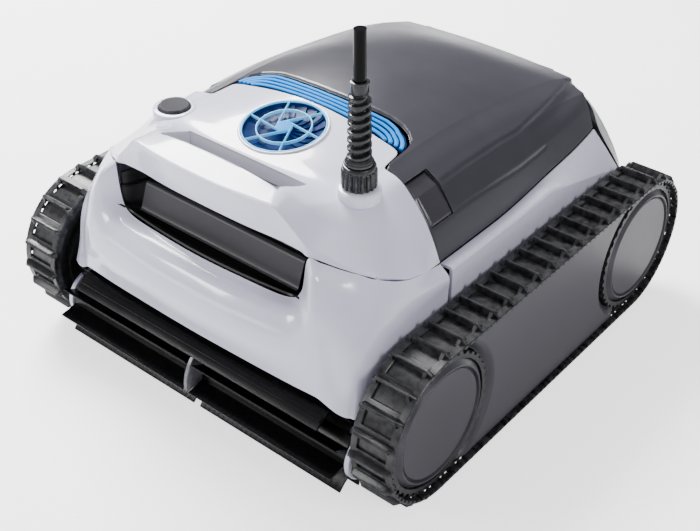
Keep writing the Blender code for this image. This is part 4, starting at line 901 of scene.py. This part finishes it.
# Rows from the slot's lower edge down to the bumper, points from the middle out to the flank.
FRONT_ROWS = [
    [(0, -190, 153), (40, -188, 152.5), (80, -183, 151), (94, -180.5, 160), (99, -178.6, 189.4),
     (107, -174.2, 188.0), (118, -167.4, 183.9), (129, -159.2, 179.6), (139, -151.4, 175.6),
     (149.5, -129.4, 167.4), (146.6, -85.5, 155.4)],
    [(0, -203, 146), (42, -201.5, 146), (86, -197, 145), (106, -193, 154), (110, -188, 176), (116, -184, 175),
     (126, -177, 170), (137, -168, 163), (147, -157, 158), (154.5, -132, 152), (155.4, -86, 148)],
    [(0, -212, 122), (44, -211, 122), (88, -207, 121), (112, -202, 127), (118, -199, 138), (126, -197, 138),
     (136, -191, 134), (146, -182, 131), (153, -168, 131), (155.4, -138, 134), (155.4, -86, 135)],
    [(0, -205, 92), (46, -204, 91.5), (92, -201.5, 90), (118, -200, 90), (126, -200, 90), (133, -198, 85),
     (141, -196, 81), (149, -193, 80), (154.5, -186, 82), (155.4, -150, 108), (155.4, -86, 112)],
]
SLOT_LOW = 153.0      # height of the slot's lower edge


def front():
    """Lower shell: a bowed face with a lip 1.3 mm proud under the slot, a channel 2.6 mm deep down each
    fender, and the bumper's wavy lower edge."""
    grid = both_ways(mirrored(FRONT_ROWS), 30, 14)
    grid = relax(grid, 3)
    reach, ahead, height = np.abs(grid[..., 0]), -grid[..., 1], grid[..., 2]
    below = SLOT_LOW - height
    lip = step(1.5, 8, below) * (1 - step(15.0, 19.0, below)) * (1 - step(80, 98, reach))
    channel = np.exp(-((reach - 134 + 0.28 * (height - 120)) / 9.0) ** 2) * step(80, 104, height)
    channel = channel * (1 - step(140, 166, height)) * step(140, 176, ahead)
    grid = grid + (1.3 * lip - 2.6 * channel)[..., None] * normals(grid)
    solid("white_front_shell", [sheet(grid, 2.6)], WHITE, stands_for=["front_shell"],
          crease=40)


def handle_liner():
    """Pocket behind the slot, near black as painted shade: floor, a back wall that leans rearwards with a
    thin step on top, and ends that curve forwards; and a grey band on the back wall, painted light."""
    profile = flow([(-188, 153.2), (-184, 151), (-176, 148.2), (-170, 148.4), (-167.5, 151), (-160.5, 168.5),
                    (-158.6, 171.2), (-156.6, 171.4), (-155.8, 170.2), (-154.6, 171.0), (-148, 184.5)], 4)
    x = np.concatenate([[-97.5, -97, -96, -94, -91], np.linspace(-88, 88, 45), [91, 94, 96, 97, 97.5]])
    end = step(84, 97.5, np.abs(x))[None, :, None]
    y, z = profile[:, 0][:, None], profile[:, 1][:, None]
    inwards = (2.0 + 6.0 * (x / 85) ** 2) * (1 - step(-188, -170, y))
    grid = np.stack([x + 0 * y, y + inwards, z + 0 * x], -1)
    target = np.stack([x + 0 * y, -182.0 + 0.2 * (y + 182) + 0 * x, 170 + 0.75 * (z - 170) + 0 * x], -1)
    grid = grid * (1 - end) + target * end
    # painted shade: the pocket is coloured near black where it lies in shade
    solid("handle_pocket", [sheet(grid, 1.6, inside=(0, -150, 140))], POCKET_PAINTED_SHADE, stands_for=["handle_well"],
          crease=40)
    # painted light: a grey band set just in front of the pocket's back wall, where light reaches it
    band = flow([(-171, 150.4), (-168.6, 152.6), (-163.0, 167.6), (-161.6, 170.6), (-160.2, 171.6)], 4)
    x = np.concatenate([[-84, -83.4], np.linspace(-82, 78, 41), [81.5, 82]])
    y, z = band[:, 0][:, None], band[:, 1][:, None]
    grid = np.stack([x + 0 * y, y + 0 * x - 1.2, z + 0 * x], -1)
    solid("pocket_wall_painted_light", [sheet(grid, 1.0, inside=(0, -150, 140))], BAND_PAINTED_LIGHT,
          crease=40)


deck()
trough_liner()
front()
handle_liner()

CREASE_HEIGHT = [(-90, 157), (51, 155.5), (135, 133), (175, 120)]


def side_panels():
    """White flank: a bright slanted strip under the lid, a crease line and the wall down to the track."""
    share = np.linspace(0, 1, 90)
    y_top, y_low = -82 + share * 238, -82 + share * 250
    x, _, z = roof(np.full(len(share), 2.0), y_top).T
    crease = np.minimum(line(CREASE_HEIGHT, y_low), z - 1)
    edge = np.full(len(share), 155.5)
    rows = np.moveaxis([(x - 1.5, y_top, z - 3.4), (x + 0.4, y_top, z - 1.5), (x + 1.3, y_top, z - 1.3),
                        ((x + edge) / 2, (y_top + y_low) / 2, (z + crease) / 2),
                        (edge - 1.4, y_low, crease + 0.2), (edge - 0.2, y_low, crease - 1.6),
                        (edge, y_low, crease - 8), (edge, y_low, 0 * edge + 112.0)], 2, 0)
    for side, word in SIDES:
        solid(f"white_side_panel_{word}", [sheet(rows * (side, 1, 1), 2.6, inside=(0, 40, 100))], WHITE,
              stands_for=[f"side_panel_{word}"], crease=30)


side_panels()


# ---- back panel -----------------------------------------------------------------------
def back_panel():
    """Dark pan at the rear: a rim that follows the lid and flanks, a slanted border, then a face with six
    moulded louvres.  Rings run round the outline, each a share of the way from the rim to the face."""
    rim = [(0, 184.0, 181.6), (60, 184.0, 180.2), (90, 183.6, 175.8), (104, 181, 171), (118, 177, 163.5),
           (131, 166, 155.5), (141, 165.5, 143), (149, 169.5, 129), (154.3, 172.5, 117), (155.4, 175.5, 100),
           (155.4, 175.5, 60), (150, 175.5, 34), (120, 175.5, 31), (0, 175.5, 30)]
    face = [(0, 187.5, 178.6), (60, 187.5, 177.2), (90, 187.5, 172.6), (101, 187.5, 168), (113, 187.5, 159.5),
            (125, 187.5, 147), (134, 187.5, 135), (141.5, 187.5, 123), (147, 187.5, 110), (148.5, 187.5, 96),
            (148.5, 187.5, 62), (139, 187.5, 41), (112, 187.5, 37.5), (0, 187.5, 37)]
    rim, face = (flow(p, 5) for p in (rim, face))
    rim, face = (np.concatenate([p, p[-2:0:-1] * (-1, 1, 1)]) for p in (rim, face))
    border = [rim + (face - rim) * share + (0, lift, 0) for share, lift in
              ((0.0, 0.0), (0.05, 0.4), (0.12, 0.5), (0.5, 0.0), (0.9, 0.0), (0.97, 0.35), (1.0, 0.2))]

    def drawn_in(outline, share_x, share_z, behind):
        """An outline shrunk towards the panel's middle and moved along Y."""
        middle = np.array([0, 0, 105.0])
        return (outline - middle) * (share_x, 1, share_z) + middle + (0, behind, 0)
    inner = drawn_in(face, 0.955, 0.945, 0)
    loops = [drawn_in(rim, 0.972, 0.965, 0.2), *border, inner - (0, 0.1, 0),
             drawn_in(inner, 0.985, 0.98, -2.0), drawn_in(inner, 0.9, 0.9, -2.3),
             drawn_in(inner, 0.88, 0.88, -4.5)]
    cross = [(0, 0), (1.9, -0.6), (2.2, -1.6), (1.2, -2.6), (0, -7.5)]
    ends = [(-62.0, 0.5), (-60.8, 1), (60.8, 1), (62.0, 0.5)]
    louvres = [tube([[(x, 184.8 + u * keep, z + 4 + w) for u, w in cross] for x, keep in ends])
               for z in np.linspace(70, 135, 6)]
    solid("louvred_back_panel", [tube(loops), *louvres], LID, stands_for=["rear_panel"],
          crease=30)


# ---- fan grille -------------------------------------------------------------------------
def fan_grille():
    """Pale outer and inner rings, a hub disc, six straight spokes that pass 6 mm from its centre, and
    eighteen overlapped navy vanes below, each falling 1.9 mm as it turns 27 degrees."""
    navy, ice, sky = range(3)
    outer = [(32.3, -3.0), (33.6, -3.0), (33.6, 0.2), (33.4, 0.5), (32.9, 0.5), (32.5, 0.2), (32.3, -0.4)]
    inner = [(21.1, -2.4), (22.1, -2.4), (22.1, -0.1), (21.8, 0.2), (21.4, 0.2), (21.1, -0.1)]
    hub = [(0, -3.0), (6.4, -3.0), (6.4, 0.0), (6.0, 0.4), (4.5, 0.55), (0, 0.6)]
    wall = [(31.2, -6.5), (32.4, -6.5), (32.4, -1.0), (32.2, -0.8), (31.9, -1.6), (31.2, -5.5)]
    parts = [(*turned(profile, (0, 0, 0), segments=count), finish) for profile, count, finish in
             ((outer, 128, ice), (inner, 96, ice), (hub, 64, sky), (wall, 96, navy))]
    flank, crown = blunt(12, 0.6, 0.6)
    reach = np.array([-3.8, -3.3, 8, 20, 31.8, 32.5])[:, None]
    keep = np.array([0.7, 1, 1, 1, 1, 0.7])[:, None]
    for k in range(6):
        angle = 2 * math.pi * k / 6 - math.radians(24)
        u = 6.0 + 0.48 * flank * keep
        x = u * math.cos(angle) - reach * math.sin(angle)
        y = -(u * math.sin(angle) + reach * math.cos(angle))
        parts.append((*tube(np.stack([x, y, (1.3 * crown - 1.0) * keep + 0 * x], -1)), ice))
    sweep, vanes = math.radians(27), 18
    theta = np.linspace(0, sweep, 6)[None, :]
    radius = np.linspace(6.0, 32.0, 9)[:, None]
    fall = -2.6 - 1.9 * theta / sweep - 2.4 * np.sin(math.pi * (radius - 6) / 25.2)
    for k in range(vanes):
        angle = theta + 2 * math.pi * k / vanes + 0.012 * (radius - 6)
        vane = np.stack([radius * np.cos(angle), radius * np.sin(angle), fall], -1)
        parts.append((*sheet(vane, 0.5, inside=(0, 0, -40)), navy))
    parts = [(swing_fan(p), faces, number) for p, faces, number in parts]
    solid("swirl_fan_grille", parts, [NAVY, ICE, SKY], stands_for=["fan_grille"],
          crease=35)
    halo = [(33.9, -2.6), (36.0, -2.6), (36.0, -0.7), (35.5, 0.1), (34.9, 0.35), (34.2, 0.2), (33.9, -0.4)]
    points, faces = turned(halo, (0, 0, 0), segments=128)
    solid("fan_halo_ring", [(swing_fan(points), faces)], WHITE, crease=50)


# ---- front roller --------------------------------------------------------------------------
def brushes():
    """Roller halves: a smooth core and nine fins, each a root strip and a row of 29 slit blades that thin
    to the tip.  A fin's cross section is given as (radius, half width) and turned to its angle."""
    blades, fins, low, high = 29, 9, 3.4, 150.4
    pitch = (high - low) / blades
    cuts = low + pitch * np.arange(blades)[:, None] + (0.25, pitch - 0.25)
    core = [(AXLE_BORE, low), (CORE_R - 0.8, low), (CORE_R, low + 0.8), (CORE_R, high - 0.8),
            (CORE_R - 0.8, high), (AXLE_BORE, high)]
    root = [(19.0, -1.9), (23.5, -1.35), (27.0, -1.2), (27.0, 1.2), (23.5, 1.35), (19.0, 1.9)]
    blade = [(26.5, -1.15), (34.9, -0.9), (35.8, -0.6), (36.0, 0), (35.8, 0.6), (34.9, 0.9), (26.5, 1.15)]

    def fin(section, angle, x):
        """Prisms of a cross section between the pairs of x."""
        r, w = np.array(section, float).T
        y = BRUSH_Y + r * math.cos(angle) - w * math.sin(angle) + 0 * x[..., None]
        z = BRUSH_Z + r * math.sin(angle) + w * math.cos(angle) + 0 * x[..., None]
        return prisms(np.stack([x[..., None] + 0 * y, y, z], -1))
    for side, word in SIDES:
        parts = [ring(core, side, (0, BRUSH_Y, BRUSH_Z), segments=72)]
        for k in range(fins):
            angle = math.radians(146) + 2 * math.pi * k / fins
            parts += [fin(root, angle, side * np.array([[low, high]])), fin(blade, angle, side * cuts)]
        solid(f"finned_brush_{word}", parts, FINS, f"brush_{word}", [f"brush_{word}"],
              crease=30)


def brush_mounts():
    """The pale strap between the halves, the end plates with a round boss, and the dark hood over the
    roller."""
    strap = np.concatenate([circle(BRUSH_Y, BRUSH_Z, BRUSH_R - 0.8, 40, 60, 186),
                            circle(BRUSH_Y, BRUSH_Z, 11, 40, 215, 405)])
    solid("brush_strap_band", [plate(strap, -1.7, 1.7)], STRAP_GREY, stands_for=["brush_strap"],
          bevel=0.5)
    ear = np.concatenate([circle(BRUSH_Y, BRUSH_Z, 22, 40, 60, 320), [(-146, 44), (-146, 66)]])
    boss = [(AXLE_BORE, 156), (10.5, 156), (10, 157.2), (AXLE_BORE, 157.2)]
    for side, word in SIDES:
        solid(f"brush_ear_{word}", [plate(ear, side * 151.6, side * 156),
                                    ring(boss, side, (0, BRUSH_Y, BRUSH_Z), segments=48)],
              WHITE, stands_for=[f"brush_end_plate_{word}"], bevel=0.6)
    arc = circle(BRUSH_Y, BRUSH_Z, BRUSH_R + 5.2, 30, 50, 135)[::-1]
    under = circle(BRUSH_Y, BRUSH_Z, BRUSH_R + 3, 30, 50, 135)
    hood = np.concatenate([arc, [(-141.3, 76), (-141.3, 73.5)], under])
    rib = np.concatenate([circle(BRUSH_Y, BRUSH_Z, BRUSH_R + 6.6, 8, 119, 126),
                          circle(BRUSH_Y, BRUSH_Z, BRUSH_R + 5.0, 8, 119, 126)[::-1]])
    solid("smooth_brush_hood", [plate(hood, -132, 132), plate(rib, -131, 131)], FINS,
          stands_for=["brush_hood"], bevel=0.3)


# ---- basket netting --------------------------------------------------------------------------
def basket_net():
    """Fine net behind the basket's windows: square threads every 3 mm both ways."""
    def thread(x, across):
        """Outline of one thread, 0.6 mm square with its corners taken off."""
        return rounded(x - 0.3, across - 0.3, x + 0.3, across + 0.3, 0.1, 2)
    parts = []
    for side, _ in SIDES:
        for middle in (-10, 52, 114):
            parts += [plate(thread(side * 98.9, y), 74, 136, "z") for y in range(middle - 21, middle + 22, 3)]
            parts += [plate(thread(side * 98.5, z), middle - 22, middle + 22, "y") for z in range(75, 136, 3)]
    solid("basket_netting", parts, DARK)


back_panel()
fan_grille()
brushes()
brush_mounts()
basket_net()


# ---- finishes of the solids that are shown as they are ------------------------------------------
BOTH = ("left", "right")
SHOWN = {
    WHEEL: [f"wheel_{end}_{side}" for end in ("front", "rear") for side in BOTH],
    DARK: ["chassis_tray", "side_frame_left", "side_frame_right", "flow_duct", "propeller", "filter_basket",
           "control_box", "button_switch"],
    FINS: ["intake_flap_left", "intake_flap_right", "basket_seal"],
    STEEL: ["brush_axle", "lid_hinge_pin", *[f"base_screw_{k}" for k in range(1, 5)],
            *[f"axle_pin_{end}_{side}" for end in ("front", "rear") for side in BOTH]],
    GEAR: [f"drive_pinion_{side}" for side in BOTH],
    MOTOR: ["drive_motor_left", "drive_motor_right", "pump_motor"],
}
for material, names in SHOWN.items():
    for name in names:
        NODES[name].data.materials.clear()
        NODES[name].data.materials.append(material)


# ---- floor and light ---------------------------------------------------------------------------------
# name, place, point it faces, width in metres and power in watts
LIGHTS = [("key", (-1.2, 0.5, 1.5), (0, 0, 0.15), 0.9, 105.0),
          ("front", (-1.0, -1.5, 0.8), (0, -0.1, 0.12), 0.5, 16.0),
          ("strip", (1.5, -0.2, 1.1), (0.15, 0.0, 0.15), 0.4, 12.0)]


def studio():
    """Pale floor, a bright even surround, a key light from the left rear and weak lights from the front and
    the right."""
    half = 30.0      # metres
    mesh = bpy.data.meshes.new("floor")
    mesh.from_pydata([(-half, -half, 0), (half, -half, 0), (half, half, 0), (-half, half, 0)], [],
                     [(0, 1, 2, 3)])
    floor = put("floor", mesh)
    material = bpy.data.materials.new("pale floor")
    material.use_nodes = True
    shader = material.node_tree.nodes["Principled BSDF"]
    shader.inputs["Base Color"].default_value = (0.92, 0.92, 0.93, 1)
    shader.inputs["Roughness"].default_value = 0.7
    shader.inputs["Emission Color"].default_value = (1, 1, 1, 1)
    tree = material.node_tree
    seen = node(tree, "LightPath").outputs["Is Camera Ray"]
    glow = node(tree, "MapRange", {"Value": seen, "To Min": 0.0, "To Max": 1.6})
    tree.links.new(glow.outputs[0], shader.inputs["Emission Strength"])
    mesh.materials.append(material)
    world = bpy.data.worlds.new("studio")
    bpy.context.scene.world = world
    world.use_nodes = True
    tree = world.node_tree
    tree.nodes["Background"].inputs["Color"].default_value = (0.93, 0.93, 1.0, 1)
    seen = node(tree, "LightPath").outputs["Is Camera Ray"]
    height = node(tree, "SeparateXYZ", {0: node(tree, "TexCoord").outputs["Generated"]})
    dome = node(tree, "MapRange", {"Value": height.outputs["Z"], "From Min": 0.0, "From Max": 0.75,
                                   "To Min": 0.16, "To Max": 0.62})
    strength = node(tree, "Mix", {0: seen, 2: dome.outputs[0], 3: 4.0})
    tree.links.new(strength.outputs[0], tree.nodes["Background"].inputs["Strength"])
    for name, place, aim, size, power in LIGHTS:
        light = bpy.data.lights.new(name, "AREA")
        light.size, light.energy = size, power
        obj = put(name, light)
        obj.location = place
        obj.rotation_euler = (Vector(place) - Vector(aim)).to_track_quat("Z", "Y").to_euler()


studio()
